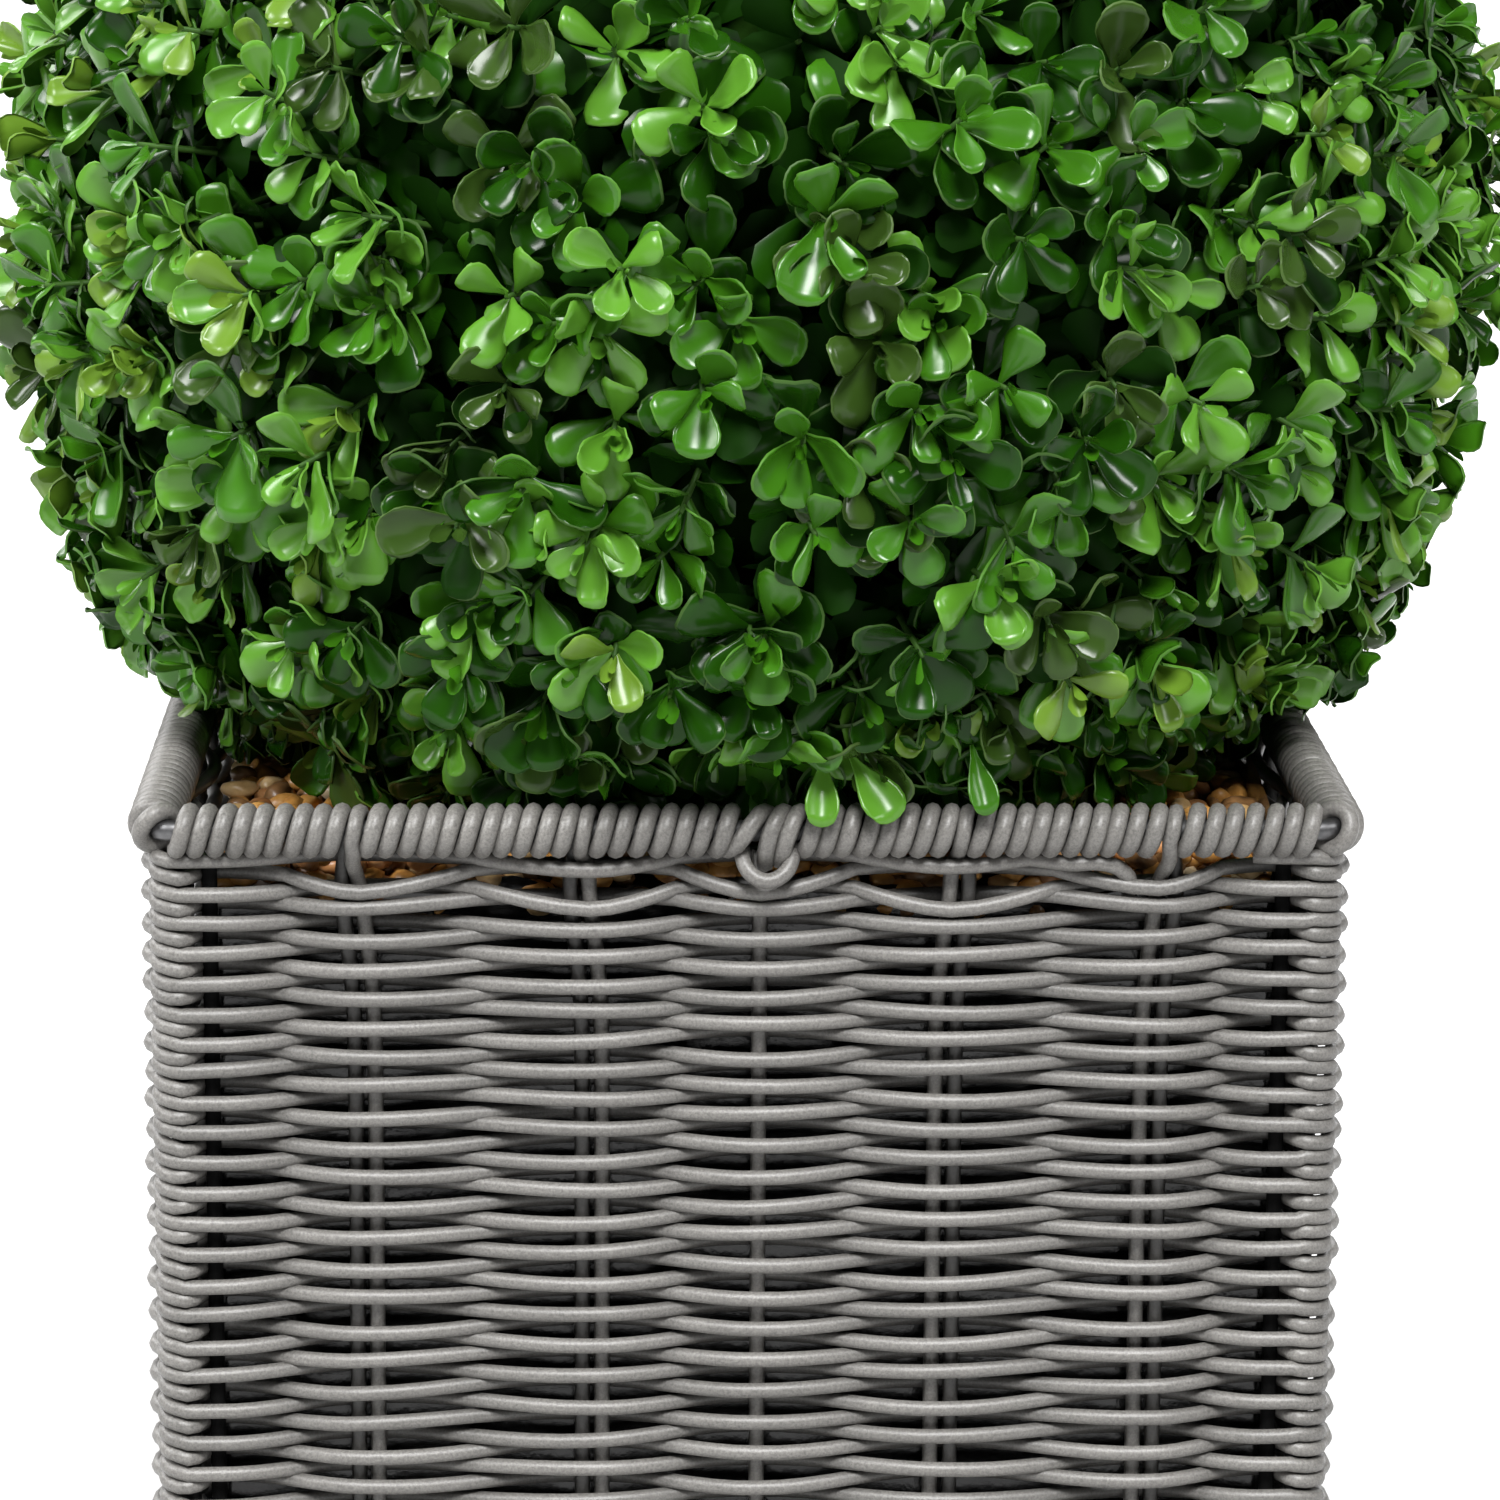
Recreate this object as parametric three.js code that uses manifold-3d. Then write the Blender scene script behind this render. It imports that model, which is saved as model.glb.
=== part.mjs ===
// A clipped boxwood ball with plastic leaves, standing in a square planter woven from grey round strand.
// Millimetres, +Z up. The origin is the middle of the planter's flat underside, and -Y is the front.
import * as THREE from "three";
import { mergeVertices } from "three/addons/utils/BufferGeometryUtils.js";
import Module from "manifold-3d";

const wasm = await Module();
wasm.setup();

// Clearance between neighbouring pieces
const GAP = 0.3;
// Edges this short are merged after fusing
const SHORT_EDGE = 0.03;

// Planter
const PLANTER_HALF = 125;
const PLANTER_HEIGHT = 250;
const FACES = 4;
const FACE_NAMES = ["front", "right", "back", "left"];

// Strand and weave
const STRAND_R = 1.75;
const STAKE_PLANE = 116;
const WEAVE_PEAK = 121.2;
const WEAVE_VALLEY = 118.7;
const WEAVE_INNER = 110.8;
const WEAVE_TOP = 235.2;
const WEAVE_CORNER_U = 113.6;
const FLOOR_THICK = 6;
// The rows lie closer together near the rim than near the foot.
const ROW_PITCH_TOP = 2.9;
const ROW_PITCH_FOOT = 3.5;
const ROW_PITCH_CHANGE = 135;

// Stakes across one face, from its left corner to its right
const STAKE_U = [-109, -78, -32, 2.5, 41, 83, 109];
const PAIRED_STAKES = [1, 2, 4, 5];
const CENTRE_STAKE = 3;
const STAKE_R = 1.6;
const PAIR_HALF = 2;
const STAKE_FOOT = 8;
const STAKE_TOP = 238.4;
const STAKE_SIDES = 6;
const BEND_STEPS = 4;
const POST_R = 2.2;
const POST_AT = 114.2;

// Rim: a steel rod bent square, wound with strand
const RIM_R = 5.65;
const RIM_AXIS = PLANTER_HALF - RIM_R;
const RIM_Z = PLANTER_HEIGHT - RIM_R;
const RIM_SIDES = 10;
const RIM_CAP_STEPS = 2;
const ROD_R = 2.2;
const ROD_BEND = 5;
const ROD_BEND_STEPS = 2;
const SIDE_WRAP_INNER = RIM_AXIS - RIM_R;

// Strand loop under the middle of each rim side
const LOOP_HALF = 4.5;
const LOOP_N = WEAVE_PEAK + GAP + STRAND_R;
const LOOP_TOP = 238.6;
const LOOP_BEND_Z = 236.9;
const LOOP_SIDES = 6;
const LOOP_STEPS = 6;

// Liner and pebble fill
const LINER_HALF = WEAVE_INNER - GAP;
const LINER_WALL = 1.5;
const LINER_TOP = 226;
const FILL_LEVEL = 238;
const FILL_CELLS = 14;
const PEBBLE_BUMP = 1.6;
const PEBBLE_WAVE = 7.5;
const DISH_CLEAR = 3;
const PAD_R = 20;

// Ball of foliage
const BALL_X = 3;
const BALL_Z = 354;
const BALL_REACH = 168;
const CORE_R = 148;
const CORE_DETAIL = 4;

// Stem, from the pebbles up into the ball
const STEM_FOOT_R = 13;
const STEM_TOP_R = 9.5;
const STEM_TOP_Z = 246;
const STEM_SIDES = 12;

// Sprigs and leaves
const SPRIGS = 110;
const SEED = 31337;
const TWIG_SINK = 6;
const TWIG_UP = 9.5;
const TWIG_FOOT_R = 2.6;
const TWIG_TIP_R = 1.9;
const TWIG_SIDES = 3;
const LEAF_LENGTH = 33;
const LEAF_WIDTH = 21;
const LEAF_THICK = 1.6;
const LEAF_WIDEST = 0.6;
const LEAF_CUP = 0.1;
const LEAF_NEAR = 36;
const LEAF_TRIES = 10;
// Each tier of a sprig: height of its root above the core, how far the root lies out from the sprig's
// axis, lean from that axis, size, and the rise from one leaf of the pair to the other
const TIERS = [
  { up: -3, out: 2.4, lean: 1.0, size: 1, rise: 0 },
  { up: 4.2, out: -0.9, lean: 0.84, size: 0.64, rise: 3.4 },
];
const TURN_JITTER = 0.5;
const LEAN_JITTER = 0.2;
const SIZE_JITTER = 0.12;
const AIM_JITTER = 0.05;
// Room the foliage keeps from the planter
const RIM_CLEAR = 2;
const FILL_CLEAR = 1.5;

const FINISHES = {
  weave: { color: 0x96938f, roughness: 0.6 },
  stake: { color: 0x86837f, roughness: 0.6 },
  rim: { color: 0x9a9793, roughness: 0.55 },
  steel: { color: 0xc4c5c8, roughness: 0.25, metalness: 0.9 },
  liner: { color: 0x161616, roughness: 0.35 },
  pebbles: { color: 0xa8763f, roughness: 0.5 },
  stem: { color: 0x5a4430, roughness: 0.8 },
  foliage: { color: 0x3f7322, roughness: 0.55 },
};

// Seeded numbers: the multiplier, step and range of a linear rule
const RANDOM_FACTOR = 1664525;
const RANDOM_STEP = 1013904223;
const RANDOM_RANGE = 2 ** 32;
// Corners this close are one corner
const WELD = 1e-4;
// A direction steeper than this takes its sideways axes from X
const STEEP = 0.9;

const topiary = new THREE.Group();

function addPiece(name, geometry, finish) {
  const material = new THREE.MeshStandardMaterial(finish);
  material.name = `${name}_material`;
  const mesh = new THREE.Mesh(geometry, material);
  mesh.name = name;
  topiary.add(mesh);
}

function toSolid(geometry) {
  const plain = geometry.clone();
  plain.deleteAttribute("normal");
  plain.deleteAttribute("uv");
  const merged = mergeVertices(plain, WELD);
  return new wasm.Manifold(
    new wasm.Mesh({
      numProp: 3,
      vertProperties: new Float32Array(merged.attributes.position.array),
      triVerts: new Uint32Array(merged.index.array),
    }),
  );
}

function toGeometry(solid) {
  const mesh = solid.getMesh();
  const geometry = new THREE.BufferGeometry();
  geometry.setAttribute("position", new THREE.BufferAttribute(mesh.vertProperties, 3));
  geometry.setIndex(new THREE.BufferAttribute(mesh.triVerts, 1));
  geometry.computeVertexNormals();
  return geometry;
}

function fromArrays(positions, triangles) {
  const geometry = new THREE.BufferGeometry();
  geometry.setAttribute("position", new THREE.Float32BufferAttribute(positions, 3));
  geometry.setIndex(triangles);
  geometry.computeVertexNormals();
  return geometry;
}

// A point of one face: u along the face to the right, n outwards, z up.
function facePoint(face, u, n, z) {
  const turn = (face * Math.PI) / 2;
  const point = new THREE.Vector3(u, -n, z);
  return point.applyAxisAngle(new THREE.Vector3(0, 0, 1), turn);
}

// A path through given points, taken one by one, with mitred turns.
class PointPath extends THREE.Curve {
  constructor(points) {
    super();
    this.points = points;
  }
  getPoint(t) {
    const at = t * (this.points.length - 1);
    const i = Math.min(Math.floor(at), this.points.length - 2);
    return this.points[i].clone().lerp(this.points[i + 1], at - i);
  }
  getPointAt(u) {
    return this.getPoint(u);
  }
  getTangentAt(u) {
    const last = this.points.length - 1;
    const i = Math.round(u * last);
    const before = this.points[Math.max(i - 1, 0)];
    const here = this.points[i];
    const after = this.points[Math.min(i + 1, last)];
    const tangent = new THREE.Vector3();
    if (i > 0) tangent.add(here.clone().sub(before).normalize());
    if (i < last) tangent.add(after.clone().sub(here).normalize());
    return tangent.normalize();
  }
}

function circleShape(radius, sides) {
  const corners = [];
  for (let i = 0; i < sides; i += 1) {
    const angle = ((i + 0.5) * 2 * Math.PI) / sides;
    corners.push(new THREE.Vector2(radius * Math.cos(angle), radius * Math.sin(angle)));
  }
  return new THREE.Shape(corners);
}

function strandTube(points, radius, sides) {
  return new THREE.ExtrudeGeometry(circleShape(radius, sides), {
    steps: points.length - 1,
    bevelEnabled: false,
    extrudePath: new PointPath(points),
  });
}

// Row heights of the weave, from the foot up.
function weaveRows() {
  const rows = [];
  let z = WEAVE_TOP - STRAND_R;
  while (z > STRAND_R) {
    rows.push(z);
    const share = Math.min((WEAVE_TOP - z) / ROW_PITCH_CHANGE, 1);
    z -= ROW_PITCH_TOP + (ROW_PITCH_FOOT - ROW_PITCH_TOP) * share;
  }
  return rows.reverse();
}

// One turn round the weave: over and under alternate from stake to stake and from row to row.
function weaveRing(row, z) {
  const ring = [];
  for (let face = 0; face < FACES; face += 1) {
    ring.push(facePoint(face, -WEAVE_CORNER_U, WEAVE_PEAK, z));
    for (let i = 1; i < STAKE_U.length - 1; i += 1) {
      const outside = (row + face * STAKE_U.length + i) % 2 === 0;
      ring.push(facePoint(face, STAKE_U[i], outside ? WEAVE_PEAK : WEAVE_VALLEY, z));
    }
    ring.push(facePoint(face, WEAVE_CORNER_U, WEAVE_PEAK, z));
  }
  return ring;
}

function stackRings(rings) {
  const count = rings[0].length;
  const positions = rings.flat().flatMap((p) => [p.x, p.y, p.z]);
  const triangles = [];
  for (let r = 0; r < rings.length - 1; r += 1) {
    for (let c = 0; c < count; c += 1) {
      const a = r * count + c;
      const b = r * count + ((c + 1) % count);
      triangles.push(a, b, b + count, a, b + count, a + count);
    }
  }
  const foot = positions.length / 3;
  const head = foot + 1;
  positions.push(0, 0, rings[0][0].z, 0, 0, rings[rings.length - 1][0].z);
  const top = (rings.length - 1) * count;
  for (let c = 0; c < count; c += 1) {
    const next = (c + 1) % count;
    triangles.push(foot, next, c, head, top + c, top + next);
  }
  return fromArrays(positions, triangles);
}

function boxAt(width, depth, low, high, x = 0, y = 0) {
  const box = new THREE.BoxGeometry(width, depth, high - low);
  box.translate(x, y, (low + high) / 2);
  return box;
}

// A straight channel for a stake or a post, open at the weave's top.
function stakeBore(face, u, n, halfWidth, halfDepth) {
  const bore = boxAt(2 * halfWidth, 2 * halfDepth, STAKE_FOOT - GAP, PLANTER_HEIGHT, u, -n);
  bore.rotateZ((face * Math.PI) / 2);
  return toSolid(bore);
}

function buildBasket() {
  const rings = [weaveRing(0, 0)];
  const rows = weaveRows();
  rows.forEach((z, row) => rings.push(weaveRing(row, z)));
  rings.push(weaveRing(rows.length, WEAVE_TOP));
  const inner = 2 * WEAVE_INNER;
  let basket = toSolid(stackRings(rings));
  basket = basket.subtract(toSolid(boxAt(inner, inner, FLOOR_THICK, PLANTER_HEIGHT)));
  const bore = STAKE_R + GAP;
  for (let face = 0; face < FACES; face += 1) {
    STAKE_U.forEach((u, i) => {
      const halfWidth = PAIRED_STAKES.includes(i) ? PAIR_HALF + bore : bore;
      basket = basket.subtract(stakeBore(face, u, STAKE_PLANE, halfWidth, bore));
    });
    const post = POST_R + GAP;
    basket = basket.subtract(stakeBore(face, POST_AT, POST_AT, post, post));
  }
  addPiece("basket", toGeometry(basket), FINISHES.weave);
}

// A paired stake is one strand bent into a hairpin whose bend lies under the rim.
function hairpinPath(face, u) {
  const bendZ = STAKE_TOP - STAKE_R - PAIR_HALF;
  const points = [facePoint(face, u - PAIR_HALF, STAKE_PLANE, STAKE_FOOT)];
  for (let i = 0; i <= BEND_STEPS; i += 1) {
    const angle = Math.PI - (i * Math.PI) / BEND_STEPS;
    const along = u + PAIR_HALF * Math.cos(angle);
    points.push(facePoint(face, along, STAKE_PLANE, bendZ + PAIR_HALF * Math.sin(angle)));
  }
  points.push(facePoint(face, u + PAIR_HALF, STAKE_PLANE, STAKE_FOOT));
  return points;
}

function straightPath(face, u, n) {
  return [facePoint(face, u, n, STAKE_FOOT), facePoint(face, u, n, STAKE_TOP)];
}

function buildStakes() {
  for (let face = 0; face < FACES; face += 1) {
    const side = FACE_NAMES[face];
    STAKE_U.forEach((u, i) => {
      const paired = PAIRED_STAKES.includes(i);
      const path = paired ? hairpinPath(face, u) : straightPath(face, u, STAKE_PLANE);
      const name = paired ? `hairpin_stake_${side}_${i}` : `single_stake_${side}_${i}`;
      addPiece(name, strandTube(path, STAKE_R, STAKE_SIDES), FINISHES.stake);
    });
    const post = strandTube(straightPath(face, POST_AT, POST_AT), POST_R, STAKE_SIDES);
    addPiece(`corner_post_${side}`, post, FINISHES.steel);
  }
}

function roundedSquare(half, bend) {
  const path = new THREE.Path();
  const flat = half - bend;
  path.absarc(flat, flat, bend, 0, Math.PI / 2);
  path.absarc(-flat, flat, bend, Math.PI / 2, Math.PI);
  path.absarc(-flat, -flat, bend, Math.PI, 1.5 * Math.PI);
  path.absarc(flat, -flat, bend, 1.5 * Math.PI, 2 * Math.PI);
  path.closePath();
  return path;
}

// The rim rod as a ring of eight-sided section with the given inner radius.
function rodRing(radius) {
  const flat = radius * Math.tan(Math.PI / 8);
  const bevel = radius - flat;
  const outer = roundedSquare(RIM_AXIS + flat, ROD_BEND + flat);
  const shape = new THREE.Shape(outer.getPoints(ROD_BEND_STEPS));
  shape.holes.push(roundedSquare(RIM_AXIS - flat, ROD_BEND - flat));
  const ring = new THREE.ExtrudeGeometry(shape, {
    depth: 2 * flat,
    curveSegments: ROD_BEND_STEPS,
    bevelThickness: bevel,
    bevelSize: bevel,
    bevelSegments: 1,
  });
  ring.translate(0, 0, RIM_Z - flat);
  return ring;
}

// A wound side of the rim that runs the planter's whole length, with rounded ends.
function longWrap() {
  const profile = [];
  for (let i = 0; i <= RIM_CAP_STEPS; i += 1) {
    const angle = (i * Math.PI) / 2 / RIM_CAP_STEPS;
    profile.push(new THREE.Vector2(RIM_R * Math.sin(angle), -RIM_AXIS - RIM_R * Math.cos(angle)));
  }
  for (let i = RIM_CAP_STEPS; i >= 0; i -= 1) {
    const angle = (i * Math.PI) / 2 / RIM_CAP_STEPS;
    profile.push(new THREE.Vector2(RIM_R * Math.sin(angle), RIM_AXIS + RIM_R * Math.cos(angle)));
  }
  profile[0].x = 0;
  profile[profile.length - 1].x = 0;
  return new THREE.LatheGeometry(profile, RIM_SIDES);
}

function shortWrap() {
  const length = 2 * (SIDE_WRAP_INNER - 2 * GAP);
  const wrap = new THREE.CylinderGeometry(RIM_R, RIM_R, length, RIM_SIDES);
  wrap.rotateZ(Math.PI / 2);
  return wrap;
}

function buildRim() {
  addPiece("rim_rod", rodRing(ROD_R), FINISHES.steel);
  const channel = toSolid(rodRing(ROD_R + GAP));
  for (let face = 0; face < FACES; face += 1) {
    const along = face % 2 === 0;
    const wrap = along ? shortWrap() : longWrap();
    const middle = facePoint(face, 0, RIM_AXIS, RIM_Z);
    wrap.translate(middle.x, middle.y, middle.z);
    const solid = toSolid(wrap).subtract(channel);
    addPiece(`rim_wrap_${FACE_NAMES[face]}`, toGeometry(solid), FINISHES.rim);
  }
}

function buildLoops() {
  const u = STAKE_U[CENTRE_STAKE];
  for (let face = 0; face < FACES; face += 1) {
    const points = [facePoint(face, u - LOOP_HALF, LOOP_N, LOOP_TOP)];
    for (let i = 0; i <= LOOP_STEPS; i += 1) {
      const angle = Math.PI + (i * Math.PI) / LOOP_STEPS;
      const z = LOOP_BEND_Z + LOOP_HALF * Math.sin(angle);
      points.push(facePoint(face, u + LOOP_HALF * Math.cos(angle), LOOP_N, z));
    }
    points.push(facePoint(face, u + LOOP_HALF, LOOP_N, LOOP_TOP));
    const loop = strandTube(points, STRAND_R, LOOP_SIDES);
    addPiece(`rim_loop_${FACE_NAMES[face]}`, loop, FINISHES.rim);
  }
}

function buildLiner() {
  const outer = 2 * LINER_HALF;
  const inner = outer - 2 * LINER_WALL;
  const low = FLOOR_THICK + GAP;
  const shell = toSolid(boxAt(outer, outer, low, LINER_TOP));
  const liner = shell.subtract(toSolid(boxAt(inner, inner, low + LINER_WALL, PLANTER_HEIGHT)));
  addPiece("liner", toGeometry(liner), FINISHES.liner);
}

// Height of the pebbles: level at the walls, with a dish under the ball and a flat pad for the stem.
function fillHeight(x, y) {
  const r = Math.hypot(x - BALL_X, y);
  const dishR = CORE_R + DISH_CLEAR;
  const below = Math.sqrt(Math.max(dishR * dishR - Math.max(r, PAD_R) ** 2, 0));
  return Math.min(FILL_LEVEL, BALL_Z - below);
}

function pebbleBump(x, y) {
  const wave = Math.sin(x / PEBBLE_WAVE + Math.sin(y / PEBBLE_WAVE)) * Math.cos(y / PEBBLE_WAVE);
  return PEBBLE_BUMP * wave;
}

// The fill stands in the liner and spreads over the liner's edge to the weave.
function buildFill() {
  const half = WEAVE_INNER - 2 * GAP;
  const low = LINER_TOP + GAP;
  const positions = [];
  const triangles = [];
  const side = FILL_CELLS + 1;
  for (let j = 0; j < side; j += 1) {
    for (let i = 0; i < side; i += 1) {
      const x = -half + (2 * half * i) / FILL_CELLS;
      const y = -half + (2 * half * j) / FILL_CELLS;
      const level = fillHeight(x, y);
      positions.push(x, y, level === FILL_LEVEL ? level + pebbleBump(x, y) : level);
    }
  }
  const under = positions.length / 3;
  for (let k = 0; k < under; k += 1) {
    positions.push(positions[3 * k], positions[3 * k + 1], FLOOR_THICK);
  }
  const quad = (a, b, c, d) => triangles.push(a, b, c, a, c, d);
  for (let j = 0; j < FILL_CELLS; j += 1) {
    for (let i = 0; i < FILL_CELLS; i += 1) {
      const a = j * side + i;
      quad(a, a + 1, a + side + 1, a + side);
      quad(under + a, under + a + side, under + a + side + 1, under + a + 1);
    }
    const right = j * side + FILL_CELLS;
    quad(right, right + under, right + under + side, right + side);
    const left = j * side;
    quad(left + side, left + side + under, left + under, left);
    const back = FILL_CELLS * side + j;
    quad(back, back + 1, back + 1 + under, back + under);
    quad(j + under, j + 1 + under, j + 1, j);
  }
  const mound = toSolid(fromArrays(positions, triangles));
  const wide = 2 * PLANTER_HALF;
  const inLiner = 2 * (LINER_HALF - LINER_WALL - GAP);
  const linerFloor = FLOOR_THICK + GAP + LINER_WALL + GAP;
  const lower = toSolid(boxAt(inLiner, inLiner, linerFloor, PLANTER_HEIGHT));
  const upper = toSolid(boxAt(wide, wide, low, PLANTER_HEIGHT));
  addPiece("pebble_fill", toGeometry(mound.intersect(lower.add(upper))), FINISHES.pebbles);
}

function stemProfile(grow) {
  const foot = fillHeight(BALL_X, 0) + GAP;
  return [
    new THREE.Vector2(0, foot),
    new THREE.Vector2(STEM_FOOT_R + grow, foot),
    new THREE.Vector2(STEM_TOP_R + grow, foot + STEM_FOOT_R),
    new THREE.Vector2(STEM_TOP_R + grow, STEM_TOP_Z + grow),
    new THREE.Vector2(0, STEM_TOP_Z + grow),
  ];
}

function stemBody(grow) {
  const body = new THREE.LatheGeometry(stemProfile(grow), STEM_SIDES);
  body.rotateX(Math.PI / 2);
  body.translate(BALL_X, 0, 0);
  return body;
}

// Seeded numbers between 0 and 1
let seedState = SEED;
function random() {
  seedState = (Math.imul(seedState, RANDOM_FACTOR) + RANDOM_STEP) >>> 0;
  return seedState / RANDOM_RANGE;
}

function jitter(amount) {
  return amount * (2 * random() - 1);
}

// Whether the foliage may reach this point: inside the ball's reach and clear of rim and pebbles.
function isFree(point) {
  const fromCentre = Math.hypot(point.x - BALL_X, point.y, point.z - BALL_Z);
  if (fromCentre > BALL_REACH) return false;
  if (point.z > PLANTER_HEIGHT + RIM_CLEAR) return true;
  const across = Math.max(Math.abs(point.x), Math.abs(point.y));
  if (across > SIDE_WRAP_INNER - RIM_CLEAR) return false;
  return point.z > fillHeight(point.x, point.y) + PEBBLE_BUMP + FILL_CLEAR;
}

// An even spread of directions over the ball, one for each sprig.
function sprigAim(index, count) {
  const z = 1 - (2 * (index + 0.5)) / count;
  const turn = index * Math.PI * (3 - Math.sqrt(5));
  const across = Math.sqrt(1 - z * z);
  const aim = new THREE.Vector3(across * Math.cos(turn), across * Math.sin(turn), z);
  aim.x += jitter(AIM_JITTER);
  aim.y += jitter(AIM_JITTER);
  aim.z += jitter(AIM_JITTER);
  return aim.normalize();
}

// A leaf of eight faces: root edge, two shoulders and a tip round a cupped middle.
function leafSolid(root, along, across, face, size) {
  const length = LEAF_LENGTH * size;
  const half = (LEAF_WIDTH * size) / 2;
  const thick = LEAF_THICK / 2;
  const cup = LEAF_CUP * length;
  const place = (a, b, c) =>
    root
      .clone()
      .addScaledVector(along, a)
      .addScaledVector(across, b)
      .addScaledVector(face, c);
  const middle = LEAF_WIDEST * length;
  const corners = [
    place(0, 0, 0),
    place(middle, half, cup / 2),
    place(length, 0, 0),
    place(middle, -half, cup / 2),
    place(middle, 0, thick - cup / 2),
    place(middle, 0, -thick - cup / 2),
  ];
  const triangles = [0, 4, 1, 1, 4, 2, 2, 4, 3, 3, 4, 0, 0, 1, 5, 1, 2, 5, 2, 3, 5, 3, 0, 5];
  return { corners, triangles };
}

function partSolid(part) {
  const positions = part.corners.flatMap((p) => [p.x, p.y, p.z]);
  const solid = toSolid(fromArrays(positions, part.triangles));
  if (solid.volume() > 0) return solid;
  const turned = [];
  for (let i = 0; i < part.triangles.length; i += 3) {
    turned.push(part.triangles[i], part.triangles[i + 2], part.triangles[i + 1]);
  }
  return toSolid(fromArrays(positions, turned));
}

function twigSolid(base, aim, side, other, length) {
  const corners = [];
  for (let end = 0; end < 2; end += 1) {
    const radius = end === 0 ? TWIG_FOOT_R : TWIG_TIP_R;
    for (let i = 0; i < TWIG_SIDES; i += 1) {
      const angle = (i * 2 * Math.PI) / TWIG_SIDES;
      const corner = base.clone().addScaledVector(aim, end * length);
      corner.addScaledVector(side, radius * Math.cos(angle));
      corner.addScaledVector(other, radius * Math.sin(angle));
      corners.push(corner);
    }
  }
  const triangles = [0, 2, 1, 3, 4, 5];
  for (let i = 0; i < TWIG_SIDES; i += 1) {
    const next = (i + 1) % TWIG_SIDES;
    triangles.push(i, next, next + TWIG_SIDES, i, next + TWIG_SIDES, i + TWIG_SIDES);
  }
  return { corners, triangles };
}

// Whether a leaf's solid meets none of the leaves placed before it.
function keepsApart(solid, middle, placed) {
  return placed.every(
    (other) =>
      other.middle.distanceTo(middle) > LEAF_NEAR || solid.intersect(other.solid).isEmpty(),
  );
}

// A leaf of one tier, turned on until it has its own space, or left out.
function placeLeaf(surface, axes, tier, up, firstTurn, placed) {
  const { aim, side, other } = axes;
  const size = tier.size * (1 + jitter(SIZE_JITTER));
  for (let go = 0; go < LEAF_TRIES; go += 1) {
    const turn = firstTurn + jitter(TURN_JITTER);
    const lean = tier.lean + jitter(LEAN_JITTER);
    const out = side.clone().multiplyScalar(Math.cos(turn)).addScaledVector(other, Math.sin(turn));
    const along = aim.clone().multiplyScalar(Math.cos(lean)).addScaledVector(out, Math.sin(lean));
    const across = new THREE.Vector3().crossVectors(aim, out).normalize();
    const face = new THREE.Vector3().crossVectors(along, across).normalize();
    const root = surface.clone().addScaledVector(aim, up).addScaledVector(out, tier.out);
    const leaf = leafSolid(root, along, across, face, size);
    if (leaf.corners.slice(1).every(isFree)) {
      const solid = partSolid(leaf);
      const middle = root.clone().addScaledVector(along, LEAF_WIDEST * LEAF_LENGTH * size);
      if (keepsApart(solid, middle, placed)) return { solid, middle };
    }
  }
  return null;
}

// One sprig: a twig out of the core with leaves in crossed pairs.
function growSprig(aim, placed) {
  const centre = new THREE.Vector3(BALL_X, 0, BALL_Z);
  const surface = centre.clone().addScaledVector(aim, CORE_R);
  const upright = new THREE.Vector3(...(Math.abs(aim.z) < STEEP ? [0, 0, 1] : [1, 0, 0]));
  const side = new THREE.Vector3().crossVectors(upright, aim).normalize();
  const other = new THREE.Vector3().crossVectors(aim, side);
  const axes = { aim, side, other };
  const base = surface.clone().addScaledVector(aim, -TWIG_SINK);
  const firstTurn = random() * Math.PI;
  const before = placed.length;
  TIERS.forEach((tier, t) => {
    for (let k = 0; k < 2; k += 1) {
      const turn = firstTurn + (t * Math.PI) / 2 + k * Math.PI;
      const leaf = placeLeaf(surface, axes, tier, tier.up + k * tier.rise, turn, placed);
      if (leaf) placed.push(leaf);
    }
  });
  const tip = surface.clone().addScaledVector(aim, TWIG_UP);
  if (placed.length === before || !isFree(tip)) return null;
  return partSolid(twigSolid(base, aim, side, other, TWIG_SINK + TWIG_UP));
}

// The largest body, with any hollow that fusing sealed filled.
function outerBody(solid) {
  const bodies = solid.decompose();
  return bodies.reduce((best, body) => (body.volume() > best.volume() ? body : best));
}

function buildBall() {
  const core = new THREE.IcosahedronGeometry(CORE_R, CORE_DETAIL);
  core.translate(BALL_X, 0, BALL_Z);
  const solids = [toSolid(core)];
  const leaves = [];
  for (let i = 0; i < SPRIGS; i += 1) {
    const twig = growSprig(sprigAim(i, SPRIGS), leaves);
    if (twig) solids.push(twig);
  }
  solids.push(...leaves.map((leaf) => leaf.solid));
  const socket = toSolid(stemBody(GAP));
  const ball = wasm.Manifold.union(solids).subtract(socket);
  addPiece("foliage_ball", toGeometry(outerBody(ball.simplify(SHORT_EDGE))), FINISHES.foliage);
}

buildBasket();
buildStakes();
buildRim();
buildLoops();
buildLiner();
buildFill();
addPiece("stem", stemBody(0), FINISHES.stem);
buildBall();

export default topiary;
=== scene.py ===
import math

import bpy
import numpy as np
from mathutils import Matrix, Vector


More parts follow.
